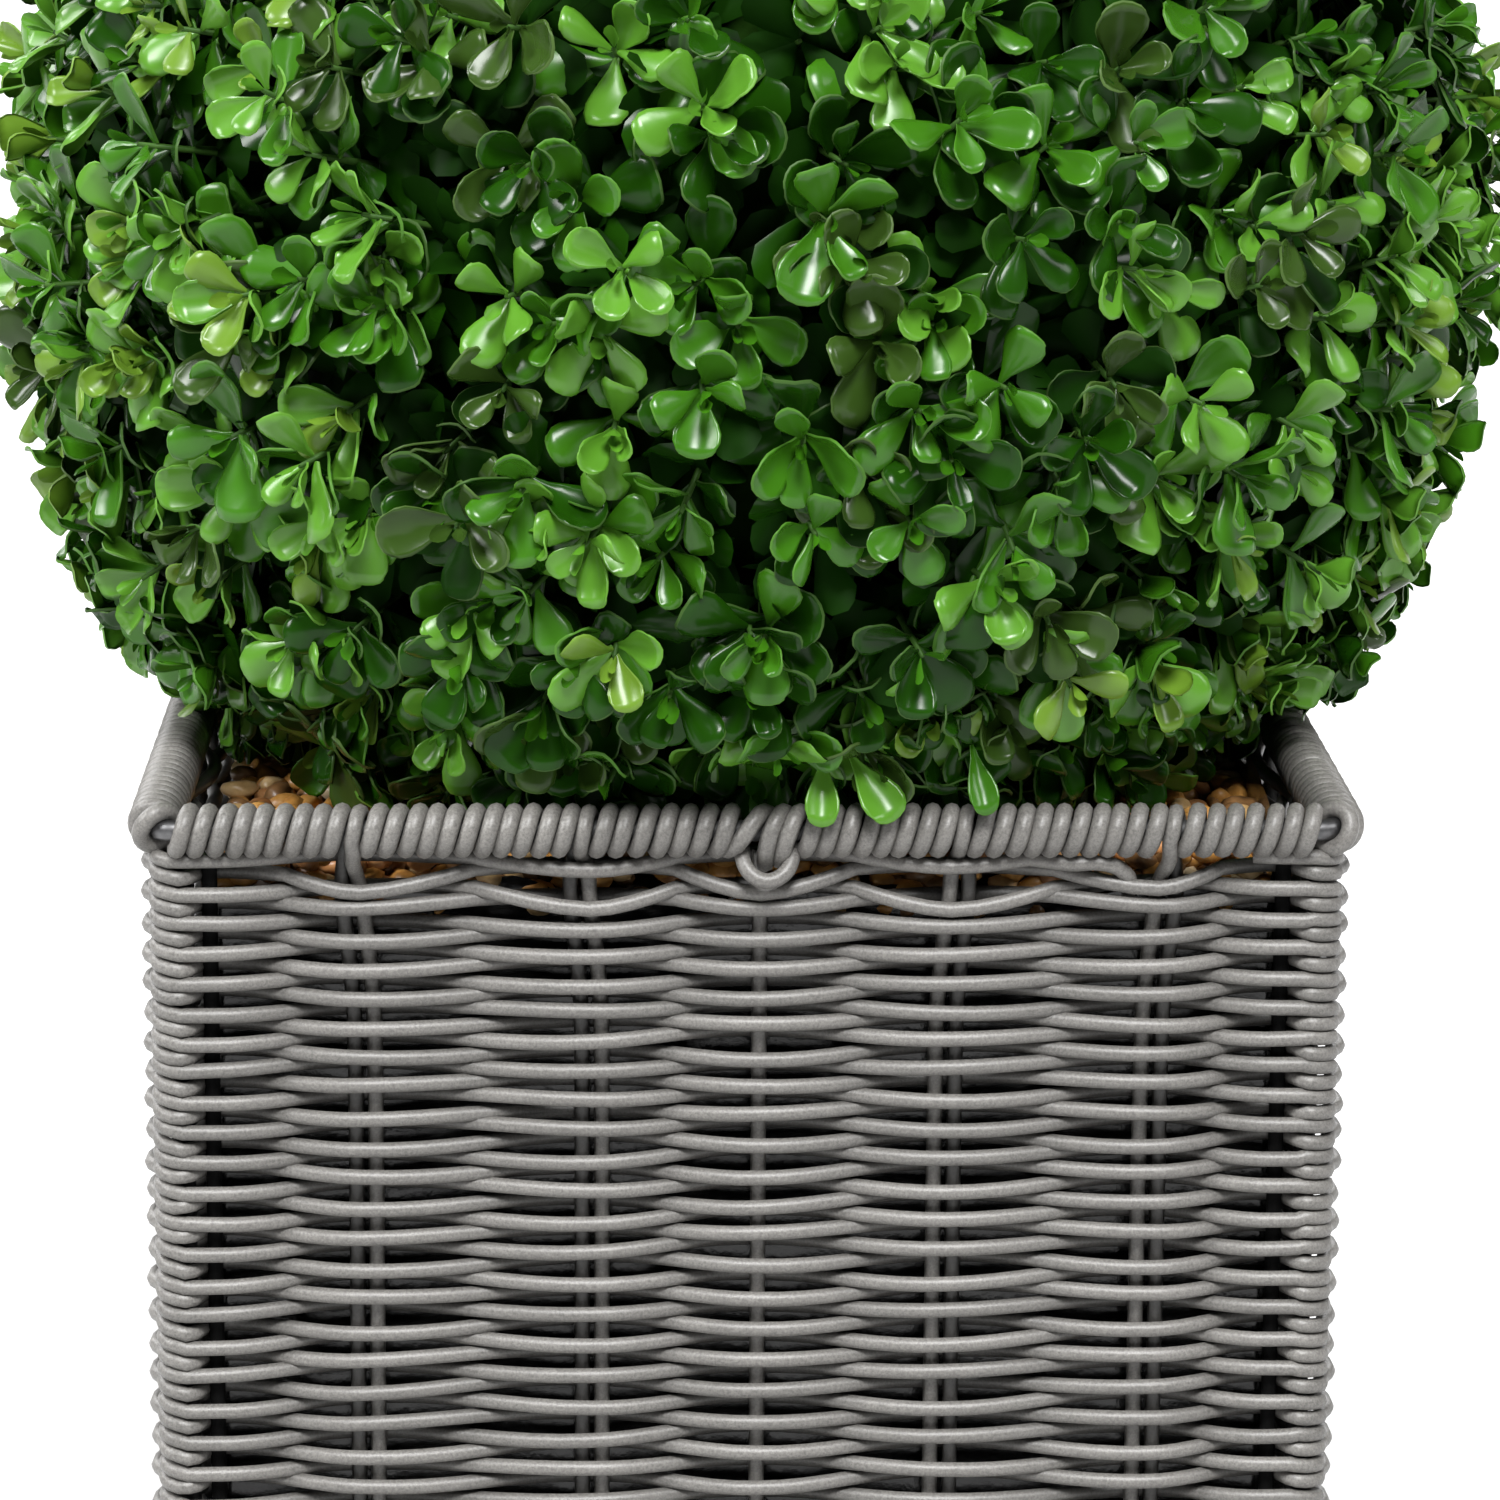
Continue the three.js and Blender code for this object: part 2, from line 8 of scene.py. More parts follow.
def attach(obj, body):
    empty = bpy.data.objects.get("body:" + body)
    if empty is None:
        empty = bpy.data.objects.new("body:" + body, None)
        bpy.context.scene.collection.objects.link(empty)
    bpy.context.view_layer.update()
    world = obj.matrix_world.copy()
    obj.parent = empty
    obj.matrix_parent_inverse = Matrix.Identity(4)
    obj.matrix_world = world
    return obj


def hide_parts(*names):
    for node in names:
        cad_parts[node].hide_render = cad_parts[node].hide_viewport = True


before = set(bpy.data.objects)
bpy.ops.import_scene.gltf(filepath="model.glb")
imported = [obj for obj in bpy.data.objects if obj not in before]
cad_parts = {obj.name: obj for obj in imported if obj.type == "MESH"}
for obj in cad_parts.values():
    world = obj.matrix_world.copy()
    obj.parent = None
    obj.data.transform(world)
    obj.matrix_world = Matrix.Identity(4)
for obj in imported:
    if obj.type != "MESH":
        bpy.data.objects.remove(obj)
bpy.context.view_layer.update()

# Sizes are in millimetres and angles in radians where no comment says otherwise. Meshes are in metres.
MM = 0.001
FULL_TURN = 2 * math.pi
SEED = 31337
rng = np.random.default_rng(SEED)

# Planter
PLANTER_HALF = 125.0
PLANTER_HEIGHT = 250.0
FACES = 4
FACE_NAMES = ("front", "right", "back", "left")
STRAND_R = 1.62
STAKE_R = 1.6
STAKE_PLANE = 116.0
STAKE_FOOT = 4.0
STAKE_U = (-108.5, -78.0, -32.0, 2.5, 41.0, 83.0, 108.5)
PAIRED_STAKES = (1, 2, 4, 5)
CENTRE_STAKE = 3
WEAVE_INNER = 110.8
WEAVE_SWING = 3.45
CORNER_BEND = 5.0
CORNER_AT = STAKE_PLANE + WEAVE_SWING - CORNER_BEND
RIM_R = 5.65
RIM_AXIS = PLANTER_HALF - RIM_R
RIM_Z = PLANTER_HEIGHT - RIM_R
RIM_IN = RIM_AXIS - RIM_R
ROD_R = 2.2
LINER_AT = 109.6
FILL_LEVEL = 238.0

# Ball
BALL = np.array([3.0, 0.0, 354.0])
BALL_REACH = 168.0
CORE_R = 148.0
INNER_CORE_R = 126.0


# Mesh helpers


class Gathered:
    """Vertices in millimetres, faces and material slots gathered for one joined mesh."""

    def __init__(self):
        self.verts = []
        self.faces = []
        self.slots = []
        self.count = 0

    def add(self, verts, blocks, slot=0):
        """Adds blocks of faces with one number of corners each; slot is for all or for each face."""
        self.verts.append(np.asarray(verts, float).reshape(-1, 3))
        for block in blocks:
            self.faces.append(np.asarray(block, int) + self.count)
            self.slots.append(np.broadcast_to(slot, len(block)))
        self.count += len(self.verts[-1])


def link_object(name, data):
    made = bpy.data.objects.new(name, data)
    bpy.context.scene.collection.objects.link(made)
    return made


def make_piece(name, gathered, materials, nodes):
    """A joined mesh that rides on the root and replaces the named nodes."""
    verts = np.concatenate(gathered.verts) * MM
    loops = np.concatenate([f.ravel() for f in gathered.faces])
    sizes = np.concatenate([np.full(len(f), f.shape[1]) for f in gathered.faces])
    starts = np.concatenate([[0], np.cumsum(sizes)[:-1]])
    mesh = bpy.data.meshes.new(name)
    mesh.vertices.add(len(verts))
    mesh.vertices.foreach_set("co", verts.astype(np.float32).ravel())
    mesh.loops.add(len(loops))
    mesh.loops.foreach_set("vertex_index", loops.astype(np.int32))
    mesh.polygons.add(len(sizes))
    mesh.polygons.foreach_set("loop_start", starts.astype(np.int32))
    mesh.polygons.foreach_set("material_index", np.concatenate(gathered.slots).astype(np.int32))
    mesh.polygons.foreach_set("use_smooth", np.ones(len(sizes), bool))
    for material in materials:
        mesh.materials.append(material)
    mesh.update(calc_edges=True)
    mesh.validate()
    piece = link_object(name, mesh)
    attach(piece, "root")
    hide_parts(*nodes)


def unit(v):
    return v / np.maximum(np.linalg.norm(v, axis=-1, keepdims=True), 1e-12)


def grid_faces(rows, columns, ring_rows=False, ring_columns=False, flip=False):
    """Quads over rows of vertices, closed into rings where asked and turned over by flip."""
    i = np.arange(rows if ring_rows else rows - 1)[:, None]
    j = np.arange(columns if ring_columns else columns - 1)[None]
    below = (i + 1) % rows
    beside = (j + 1) % columns
    corners = [(i, j), (i, beside), (below, beside), (below, j)]
    if flip:
        corners = [corners[0], *corners[:0:-1]]
    return np.stack([(row * columns + column).ravel() for row, column in corners], 1)


def tube(path, radius, sides, ref, closed=False):
    """A round tube along a path; ref gives the direction its first corner faces."""
    path = np.asarray(path, float)
    count = len(path)
    if closed:
        tangent = np.roll(path, -1, 0) - np.roll(path, 1, 0)
    else:
        tangent = np.gradient(path, axis=0)
    tangent = unit(tangent)
    ref = np.broadcast_to(np.asarray(ref, float), path.shape)
    normal = unit(ref - (ref * tangent).sum(1, keepdims=True) * tangent)
    binormal = np.cross(tangent, normal)
    angle = np.arange(sides) * FULL_TURN / sides
    radius = np.broadcast_to(np.asarray(radius, float), (count,))
    ring = normal[:, None] * np.cos(angle)[None, :, None] + binormal[:, None] * np.sin(angle)[None, :, None]
    verts = (path[:, None] + ring * radius[:, None, None]).reshape(-1, 3)
    blocks = [grid_faces(count, sides, ring_rows=closed, ring_columns=True)]
    if not closed:
        hub = len(verts)
        verts = np.concatenate([verts, path[[0, -1]]])
        j = np.arange(sides)
        beside = (j + 1) % sides
        last = (count - 1) * sides
        blocks.append(np.stack([np.full(sides, hub), beside, j], 1))
        blocks.append(np.stack([np.full(sides, hub + 1), last + j, last + beside], 1))
    return verts, blocks


def spline(points, per):
    """A smooth path through the points, with so many steps from one to the next."""
    p = np.asarray(points, float)
    p = np.concatenate([[2 * p[0] - p[1]], p, [2 * p[-1] - p[-2]]])
    t = np.linspace(0, 1, per, endpoint=False)[:, None]
    out = []
    for k in range(1, len(p) - 2):
        a, b, c, d = p[k - 1 : k + 3]
        square = 2 * a - 5 * b + 4 * c - d
        cube = 3 * b - a - 3 * c + d
        out.append(0.5 * (2 * b + (c - a) * t + square * t**2 + cube * t**3))
    out.append(p[-2:-1])
    return np.concatenate(out)


def face_points(face, u, n, z):
    """Points of one face: u to the right along it, n outwards, z up."""
    u, n, z = np.broadcast_arrays(np.asarray(u, float), np.asarray(n, float), np.asarray(z, float))
    turned = ((u, -n), (n, u), (-u, n), (-n, -u))[face]
    return np.stack([turned[0], turned[1], z], -1)


def face_out(face):
    return face_points(face, 0.0, 1.0, 0.0)


def on_faces(name):
    """Names of the four nodes of a kind, one on each face."""
    return [f"{name}_{face}" for face in FACE_NAMES]


# Materials

# Depths of bumps are in metres
PLAIN_GLOSS = 0.5
STRAND_ROUGHNESS = 0.42
STRAND_GLOSS = 0.55
STRAND_BUMP = 0.25
STRAND_BUMP_DEPTH = 0.0003
# Noise of a strand's fine speckle and of its slow patches: scale, detail, roughness
SPECK_NOISE = (1900.0, 3.0, 0.75)
PATCH_NOISE = (90.0, 2.0, 0.55)
# Share of the colour at two places of each noise
SPECK_STOPS = ((0.34, 0.66), (0.66, 1.34))
PATCH_STOPS = ((0.3, 0.86), (0.7, 1.0))
# Painted shade: between these distances from the middle a strand goes from this painted shade to its full
# colour, so it is painted darker where it passes behind the stakes
SHADE_IN = 112.0
SHADE_OUT = 118.6
SHADE = 0.28
# Noise of the mottled materials, the stretch over which their colours spread, and the bump's depth
MOTTLE_DETAIL = 4.0
MOTTLE_ROUGHNESS = 0.6
MOTTLE_FROM = 0.3
MOTTLE_SPAN = 0.4
MOTTLE_DEPTH = 0.0006


def node_material(name, roughness, gloss=PLAIN_GLOSS, metallic=0.0):
    material = bpy.data.materials.new(name)
    material.use_nodes = True
    shader = material.node_tree.nodes["Principled BSDF"]
    shader.inputs["Roughness"].default_value = roughness
    shader.inputs["Specular IOR Level"].default_value = gloss
    shader.inputs["Metallic"].default_value = metallic
    return material, shader


def new_node(tree, kind, **inputs):
    """A node of a kind; each named input takes a value, or a link where an output is given."""
    node = tree.nodes.new("ShaderNode" + kind)
    for name, given in inputs.items():
        if isinstance(given, bpy.types.NodeSocket):
            tree.links.new(given, node.inputs[name])
        else:
            node.inputs[name].default_value = given
    return node


def noise_node(tree, scale, detail, roughness):
    place = new_node(tree, "TexCoord").outputs["Object"]
    noise = new_node(tree, "TexNoise", Vector=place, Scale=scale, Detail=detail, Roughness=roughness)
    return noise.outputs["Fac"]


def ramp_node(tree, source, stops):
    ramp = new_node(tree, "ValToRGB", Fac=source)
    while len(ramp.color_ramp.elements) < len(stops):
        ramp.color_ramp.elements.new(0.5)
    for element, (at, colour) in zip(ramp.color_ramp.elements, stops):
        element.position = at
        element.color = (*colour, 1.0)
    return ramp.outputs["Color"]


def add_bump(tree, shader, height, strength, distance):
    bump = new_node(tree, "Bump", Height=height, Strength=strength, Distance=distance)
    tree.links.new(bump.outputs["Normal"], shader.inputs["Normal"])


def scaled(colour, factor):
    return tuple(min(c * factor, 1.0) for c in colour)


def grey(share):
    return (share, share, share)


def math_node(tree, operation, *sources):
    node = new_node(tree, "Math")
    node.operation = operation
    for slot, source in enumerate(sources):
        tree.links.new(source, node.inputs[slot])
    return node.outputs["Value"]


def painted_depth_shade(tree):
    """A grey of painted shade that darkens a strand where it passes behind the stakes."""
    place = new_node(tree, "TexCoord").outputs["Object"]
    parts = new_node(tree, "SeparateXYZ", Vector=place).outputs
    sides = [math_node(tree, "ABSOLUTE", parts[axis]) for axis in ("X", "Y")]
    span = new_node(tree, "MapRange", Value=math_node(tree, "MAXIMUM", *sides))
    span.inputs["From Min"].default_value = SHADE_IN * MM
    span.inputs["From Max"].default_value = SHADE_OUT * MM
    return ramp_node(tree, span.outputs["Result"], [(0.0, grey(SHADE)), (1.0, grey(1.0))])


def multiplied(tree, first, second):
    mix = tree.nodes.new("ShaderNodeMix")
    mix.data_type = "RGBA"
    mix.blend_type = "MULTIPLY"
    mix.inputs["Factor"].default_value = 1.0
    tree.links.new(first, mix.inputs["A"])
    tree.links.new(second, mix.inputs["B"])
    return mix.outputs["Result"]


def strand_material(name, colour):
    """Round plastic strand: fine speckle over slow patches, with a soft sheen, and painted shade where it
    passes behind the stakes.
    """
    material, shader = node_material(name, STRAND_ROUGHNESS, STRAND_GLOSS)
    tree = material.node_tree
    speck = noise_node(tree, *SPECK_NOISE)
    fine = ramp_node(tree, speck, [(at, scaled(colour, share)) for at, share in SPECK_STOPS])
    slow = ramp_node(tree, noise_node(tree, *PATCH_NOISE), [(at, grey(share)) for at, share in PATCH_STOPS])
    tone = multiplied(tree, multiplied(tree, fine, slow), painted_depth_shade(tree))
    tree.links.new(tone, shader.inputs["Base Color"])
    add_bump(tree, shader, speck, STRAND_BUMP, STRAND_BUMP_DEPTH)
    return material


def mottled_material(name, colours, scale, roughness, bump, gloss=PLAIN_GLOSS, metallic=0.0):
    """A surface that runs through the colours over a noise, which also gives its bump."""
    material, shader = node_material(name, roughness, gloss, metallic)
    tree = material.node_tree
    noise = noise_node(tree, scale, MOTTLE_DETAIL, MOTTLE_ROUGHNESS)
    last = len(colours) - 1
    stops = [(MOTTLE_FROM + MOTTLE_SPAN * i / last, colour) for i, colour in enumerate(colours)]
    tree.links.new(ramp_node(tree, noise, stops), shader.inputs["Base Color"])
    add_bump(tree, shader, noise, bump, MOTTLE_DEPTH)
    return material


def leaf_material(name, colour, roughness, gloss):
    material, shader = node_material(name, roughness, gloss)
    shader.inputs["Base Color"].default_value = (*colour, 1.0)
    return material


GREY = (0.134, 0.128, 0.119)
# Shares of that grey: the strands dealt out to weave and rim, and the back strand of a paired stake, a
# darker copy that is painted shade
STRAND_SHARES = (1.0, 0.92, 1.07)
SHADED_SHARE = 0.3
# Near-black painted shade for the single stakes beside the corners, which stand in the dark gaps
PAINTED_SHADE_STAKE = [grey(0.002), grey(0.005)]
STEEL = [(0.1, 0.1, 0.103), (0.17, 0.17, 0.173)]
# Dark copy of the steel, painted shade, for the corner posts and the rod inside the winding
SHADED_STEEL = [grey(0.012), grey(0.03)]
FILM = [grey(0.004), (0.01, 0.01, 0.0095)]
# Colours of the bed under the gravel, painted as the shadow between the stones
BED_SHADOW = [(0.008, 0.005, 0.003), (0.035, 0.02, 0.01)]
BARK = [(0.035, 0.022, 0.013), (0.11, 0.07, 0.04), (0.06, 0.04, 0.024)]
TWIG = [(0.02, 0.06, 0.008), (0.04, 0.1, 0.014)]
# Colours of the core, painted as the shade deep among the leaves
CORE_SHADE = [(0.004, 0.015, 0.001), (0.008, 0.029, 0.002)]
strand_mats = [
    strand_material(f"strand_grey_{i}", scaled(GREY, share)) for i, share in enumerate(STRAND_SHARES)
]
stake_mats = [
    strand_material("stake_grey", GREY),
    strand_material("stake_grey_painted_shade", scaled(GREY, SHADED_SHARE)),
    mottled_material("stake_black_painted_shade", PAINTED_SHADE_STAKE, scale=300.0, roughness=0.9, bump=0.1, gloss=0.1),
]
# Places of these in the list: the grey, its darker copy painted as shade, and the near-black painted as
# shade
LIT, SHADED, PAINTED_BLACK = range(3)
steel_mat = mottled_material("bare_steel", STEEL, scale=400.0, roughness=0.42, bump=0.05, metallic=1.0)
shaded_steel_mat = mottled_material("shaded_steel", SHADED_STEEL, scale=400.0, roughness=0.6, bump=0.05)
liner_mat = mottled_material("liner_black", FILM, scale=160.0, roughness=0.22, bump=0.5)
bed_shadow_mat = mottled_material("fill_shadow", BED_SHADOW, scale=140.0, roughness=0.9, bump=0.6)
bark_mat = mottled_material("stem_bark", BARK, scale=220.0, roughness=0.85, bump=0.7)
twig_mat = mottled_material("twig_green", TWIG, scale=260.0, roughness=0.5, bump=0.2, gloss=0.15)
core_shade_mat = mottled_material("core_painted_shade", CORE_SHADE, scale=120.0, roughness=0.95, bump=0.6, gloss=0.05)
# Share of each kind of pebble, and its colours from dark to light
PEBBLES = {
    "amber": (0.4, [(0.27, 0.11, 0.022), (0.5, 0.24, 0.055), (0.6, 0.33, 0.1)]),
    "tan": (0.2, [(0.4, 0.24, 0.09), (0.6, 0.4, 0.18), (0.68, 0.5, 0.27)]),
    "brown": (0.22, [(0.08, 0.042, 0.016), (0.18, 0.09, 0.033), (0.25, 0.13, 0.05)]),
    "cream": (0.03, [(0.56, 0.42, 0.24), (0.7, 0.57, 0.37), (0.76, 0.65, 0.46)]),
    "rust": (0.15, [(0.2, 0.075, 0.024), (0.38, 0.17, 0.06), (0.48, 0.25, 0.1)]),
}
pebble_shares = [share for share, _ in PEBBLES.values()]
pebble_mats = [
    mottled_material(f"pebble_{kind}", colours, scale=240.0, roughness=0.36, bump=0.25)
    for kind, (_, colours) in PEBBLES.items()
]
# Colour, roughness and gloss of the leaves; the darkest is painted shade, for leaves deep in the ball
LEAVES = {
    "bright": ((0.069, 0.2, 0.0145), 0.29, 0.4),
    "mid": ((0.0295, 0.119, 0.004), 0.27, 0.35),
    "deep": ((0.008, 0.042, 0.0012), 0.22, 0.18),
    "yellow": ((0.096, 0.186, 0.016), 0.3, 0.34),
    "olive": ((0.024, 0.054, 0.007), 0.25, 0.24),
    "dusk": ((0.0042, 0.023, 0.0008), 0.5, 0.05),
}
# A leaf's edge takes a share of a paler tint
EDGE_TINT = (0.26, 0.4, 0.13)
EDGE_SHARE = 0.1
EDGE_ROUGHNESS = 0.42
EDGE_GLOSS = 0.15


def edge_colour(colour):
    return tuple((1 - EDGE_SHARE) * a + EDGE_SHARE * b for a, b in zip(colour, EDGE_TINT))


leaf_mats = {kind: leaf_material(f"leaf_{kind}", *look) for kind, look in LEAVES.items()}
edge_mats = {
    kind: leaf_material(f"leaf_{kind}_edge", edge_colour(look[0]), EDGE_ROUGHNESS, EDGE_GLOSS)
    for kind, look in LEAVES.items()
}


# Woven wall and floor

# Loose first rows: height where a row crosses the next, and sag at the stakes that it passes outside
TOP_ROWS = (
    (238.2, 2.0),
    (235.6, 3.4),
    (231.8, 3.6),
    (229.6, 1.0),
    (224.6, 0.5),
    (221.9, 0.3),
    (218.4, 0.2),
    (215.8, 0.2),
    (212.4, 0.2),
    (209.7, 0.2),
)
ROW_SAG = 0.15
SAG_CURVE = 1.5
# Share of the sag at the centre stake
CENTRE_SAG = 1.3
# Pitch of the rows below them, which grows over a stretch from the first row down
ROW_PITCH_TOP = 2.95
ROW_PITCH_FOOT = 3.5
ROW_PITCH_CHANGE = 135.0
# Shares of the swing at a stake, and outside the stakes next to the corners on the right and left faces
SWING_SHARES = (0.94, 1.03)
CORNER_BULGE = 1.6
# Where the first row ends on the front face, and the points through which its end turns down
TUCK_AT = 61.0
TUCK_TO = 99.0
TUCK = (
    *((65.0, -119.9, 237.6), (70.0, -120.0, 237.8), (74.0, -119.8, 237.0)),
    *((76.6, -118.8, 234.9), (77.4, -116.8, 232.4), (77.5, -114.4, 229.6)),
)
# Towards the corners the loose first rows even out, and each row climbs a little to the right
EVEN_FROM = 62.0
EVEN_AT = 104.0
ROW_CLIMB = 0.5
ROW_LIFT = 0.16
# Lengths of the long and the short waves in a row, and their heights in the first rows and below
WAVE_LENGTHS = (27.0, 11.0)
FIRST_WAVES = (0.28, 0.15)
LOWER_WAVES = (0.42, 0.26)
ROW_SIDES = 8
SPAN_STEPS = 8
SHORT_STEPS = 4
FLAT_SHARE = 0.05
# Floor: how far it goes under the walls, its cross bars, and the strands woven over them
FLOOR_OVERLAP = 1.0
FLOOR_BARS = 6
FLOOR_BAR_INSET = 12.0
FLOOR_ROW_INSET = 2.0
FLOOR_ROW_GAP = 0.1
FLOOR_ROW_TURN = 3.5
FLOOR_SWING = 0.95


def row_heights():
    """Height and sag of each row from the rim down."""
    rows = list(TOP_ROWS)
    while True:
        last = rows[-1][0]
        share = min((TOP_ROWS[0][0] - last) / ROW_PITCH_CHANGE, 1.0)
        z = last - (ROW_PITCH_TOP + (ROW_PITCH_FOOT - ROW_PITCH_TOP) * share)
        if z < STRAND_R + ROW_SAG:
            return rows
        rows.append((z, ROW_SAG))


def eased(t):
    """From 0 to 1 with level stretches at both ends."""
    s = np.clip((t - FLAT_SHARE) / (1 - 2 * FLAT_SHARE), 0, 1)
    return s * s * (3 - 2 * s)


def row_path(row, z, even, sag):
    """One row round the planter, in and out between the stakes and outside each corner post."""
    out = STAKE_PLANE + WEAVE_SWING
    blocks = []
    waves = rng.uniform(0, FULL_TURN, FACES)
    lift = rng.normal(0, ROW_LIFT)
    long_wave, short_wave = WAVE_LENGTHS
    long_height, short_height = FIRST_WAVES if row < len(TOP_ROWS) else LOWER_WAVES
    us = [-CORNER_AT, *STAKE_U, CORNER_AT]
    last = len(us) - 1
    for face in range(FACES):
        ns = [out]
        for i in range(len(STAKE_U)):
            side = 1 if (row + face * len(STAKE_U) + i) % 2 == 0 else -1
            if side > 0 and face % 2 == 1 and i in (0, len(STAKE_U) - 1):
                side = CORNER_BULGE
            ns.append(STAKE_PLANE + side * WEAVE_SWING * rng.uniform(*SWING_SHARES))
        ns.append(out)
        for k in range(last):
            steps = SHORT_STEPS if k in (0, last - 1) else SPAN_STEPS
            t = np.arange(steps) / steps
            u = us[k] + (us[k + 1] - us[k]) * t
            n = ns[k] + (ns[k + 1] - ns[k]) * eased(t)
            dz = lift + long_height * np.sin(u / long_wave + waves[face])
            dz = dz + short_height * np.sin(u / short_wave + 2 * waves[face])
            share = np.clip((np.abs(u) - EVEN_FROM) / (EVEN_AT - EVEN_FROM), 0, 1)
            dz = dz + (even - z) * share * share * (3 - 2 * share) + ROW_CLIMB * u / CORNER_AT
            for near, at in ((1 - 2 * t, k), (2 * t - 1, k + 1)):
                if ns[at] > STAKE_PLANE and 1 < at < last - 1:
                    deep = CENTRE_SAG if at == CENTRE_STAKE + 1 else 1.0
                    dz = dz - sag * deep * (1 - (1 - np.clip(near, 0, 1)) ** SAG_CURVE)
            blocks.append(face_points(face, u, n, z + dz))
        angle = np.arange(SHORT_STEPS) / SHORT_STEPS * math.pi / 2
        u = CORNER_AT + CORNER_BEND * np.sin(angle)
        n = CORNER_AT + CORNER_BEND * np.cos(angle)
        blocks.append(face_points(face, u, n, even + lift + ROW_CLIMB * (1 - 4 * angle / math.pi)))
    return np.concatenate(blocks)


def tucked_end(path):
    """The first row cut open on the front face, with its end turned down behind the row below."""
    front = path[:, 1] < -STAKE_PLANE + 2 * WEAVE_SWING
    gone = np.flatnonzero(front & (path[:, 0] > TUCK_AT) & (path[:, 0] < TUCK_TO))
    turn = spline([path[gone[0] - 1], *TUCK], per=4)
    return np.concatenate([path[gone[-1] + 1 :], path[: gone[0] - 1], turn])


def build_weave():
    rows = row_heights()
    halves = (Gathered(), Gathered())
    last = len(TOP_ROWS) - 1
    step = (rows[0][0] - rows[last][0]) / last
    for row, (z, sag) in enumerate(rows):
        even = rows[0][0] - step * row if row < last else z
        path = row_path(row, z, even, sag)
        if row == 0:
            path = tucked_end(path)
        verts, blocks = tube(path, STRAND_R, ROW_SIDES, (0, 0, 1), closed=row > 0)
        halves[0 if row < len(rows) // 2 else 1].add(verts, blocks, int(rng.integers(len(strand_mats))))
    make_piece("weave_upper_rows", halves[0], strand_mats, ["basket"])
    make_piece("weave_lower_rows", halves[1], strand_mats, ["basket"])


def build_floor():
    """Woven floor: strands in and out over cross bars, as the walls."""
    floor = Gathered()
    half = WEAVE_INNER + FLOOR_OVERLAP
    bars = np.linspace(-half + FLOOR_BAR_INSET, half - FLOOR_BAR_INSET, FLOOR_BARS)
    mid = 2 * STRAND_R + STAKE_R
    x = np.linspace(-half, half, num=49)
    for y in np.arange(-half + FLOOR_ROW_INSET, half, 2 * STRAND_R + FLOOR_ROW_GAP):
        wave = np.cos((x - bars[0]) / (bars[1] - bars[0]) * math.pi + round(y / FLOOR_ROW_TURN) * math.pi)
        path = np.stack([x, np.full_like(x, y), mid + wave * (STRAND_R + STAKE_R) * FLOOR_SWING], 1)
        floor.add(*tube(path, STRAND_R, sides=6, ref=(0, 0, 1)))
    y = np.linspace(-half, half, num=9)
    for bar in bars:
        path = np.stack([np.full_like(y, bar), y, np.full_like(y, mid)], 1)
        floor.add(*tube(path, STAKE_R, sides=6, ref=(0, 0, 1)))
    make_piece("woven_floor", floor, [strand_mats[1]], ["basket"])


# Stakes and rim

WRAP_STRAND_R = 1.84
WRAP_R = RIM_R - WRAP_STRAND_R
WRAP_PITCH = 3.8
WRAP_LEAN = 0.5
WRAP_STEPS = 24
WRAP_START = math.radians(-150.0)
# Unevenness of the winding along the rim and away from it, and how fast it changes
STRAY = 0.14
STRAY_RATE = 1.7
STRAY_START = 6.0
SWELL = 0.015
SWELL_RATE = 2.3
# The front and back windings stop short of the corners, and the other two go round them by this angle
SHORT_WRAP_END = 115.0
FAN_ANGLE = math.radians(58.0)
ROD_BEND = 5.0
ROD_CORNER_STEPS = 8
ROD_SIDES = 14
# From so far before the end of the short windings the rod is bare
BARE_BEFORE = 12.0
POST_R = 2.2


def rim_point(u, angle):
    """A point of the wound rim in u, n, z; angle 0 faces out and a quarter turn is the top."""
    return (u, RIM_AXIS + WRAP_R * math.cos(angle), RIM_Z + WRAP_R * math.sin(angle))


# Heights of a single stake's points
SINGLE_OVERLAP = 1.0
SINGLE_HEIGHTS = (RIM_Z - RIM_R + SINGLE_OVERLAP, 230.0, 160.0, 80.0, STAKE_FOOT)
# A paired stake leans at its top and a share of that back at its foot, and bends at these heights
PAIR_HALF = 2.0
PAIR_LEAN = -1.8
LEAN_BACK = 0.3
PAIR_BEND_Z = 229.0
PAIR_STRAIGHT_Z = 212.0
PAIR_HEIGHTS = (195.0, 140.0, 80.0, STAKE_FOOT)
# Its front leg passes over the rim to the left or right of it, at these angles in degrees, and slides along
# by so much a degree from the level angle
LEG_SHIFTS = (-0.8, 2.4)
LEG_DEGREES = (190, 150, 110, 70, 30, 0, -30)
LEG_LEVEL = 30
LEG_SLIDE = 0.012
# Then it goes behind the first row or outside it: two points whose u counts from the leg, and one whose u
# counts inwards from the leaning stake
LEG_WAYS = (
    (rim_point(-0.9, math.radians(-62)), (-1.0, 117.6, 239.3), (1.4, 115.9, 236.0)),
    ((-0.5, 121.4, 240.0), (-0.6, 119.2, 237.4), (1.0, 116.6, 234.4)),
)
# Upper points of its back leg, whose u counts outwards from the leaning stake
BACK_WAY = (rim_point(1.2, math.radians(205)), (1.4, 115.2, 239.0), (PAIR_HALF, 115.8, 230.0))
# Below this the side of a strand that faces along the rim is too short to set its first corner by
END_ON = 0.3
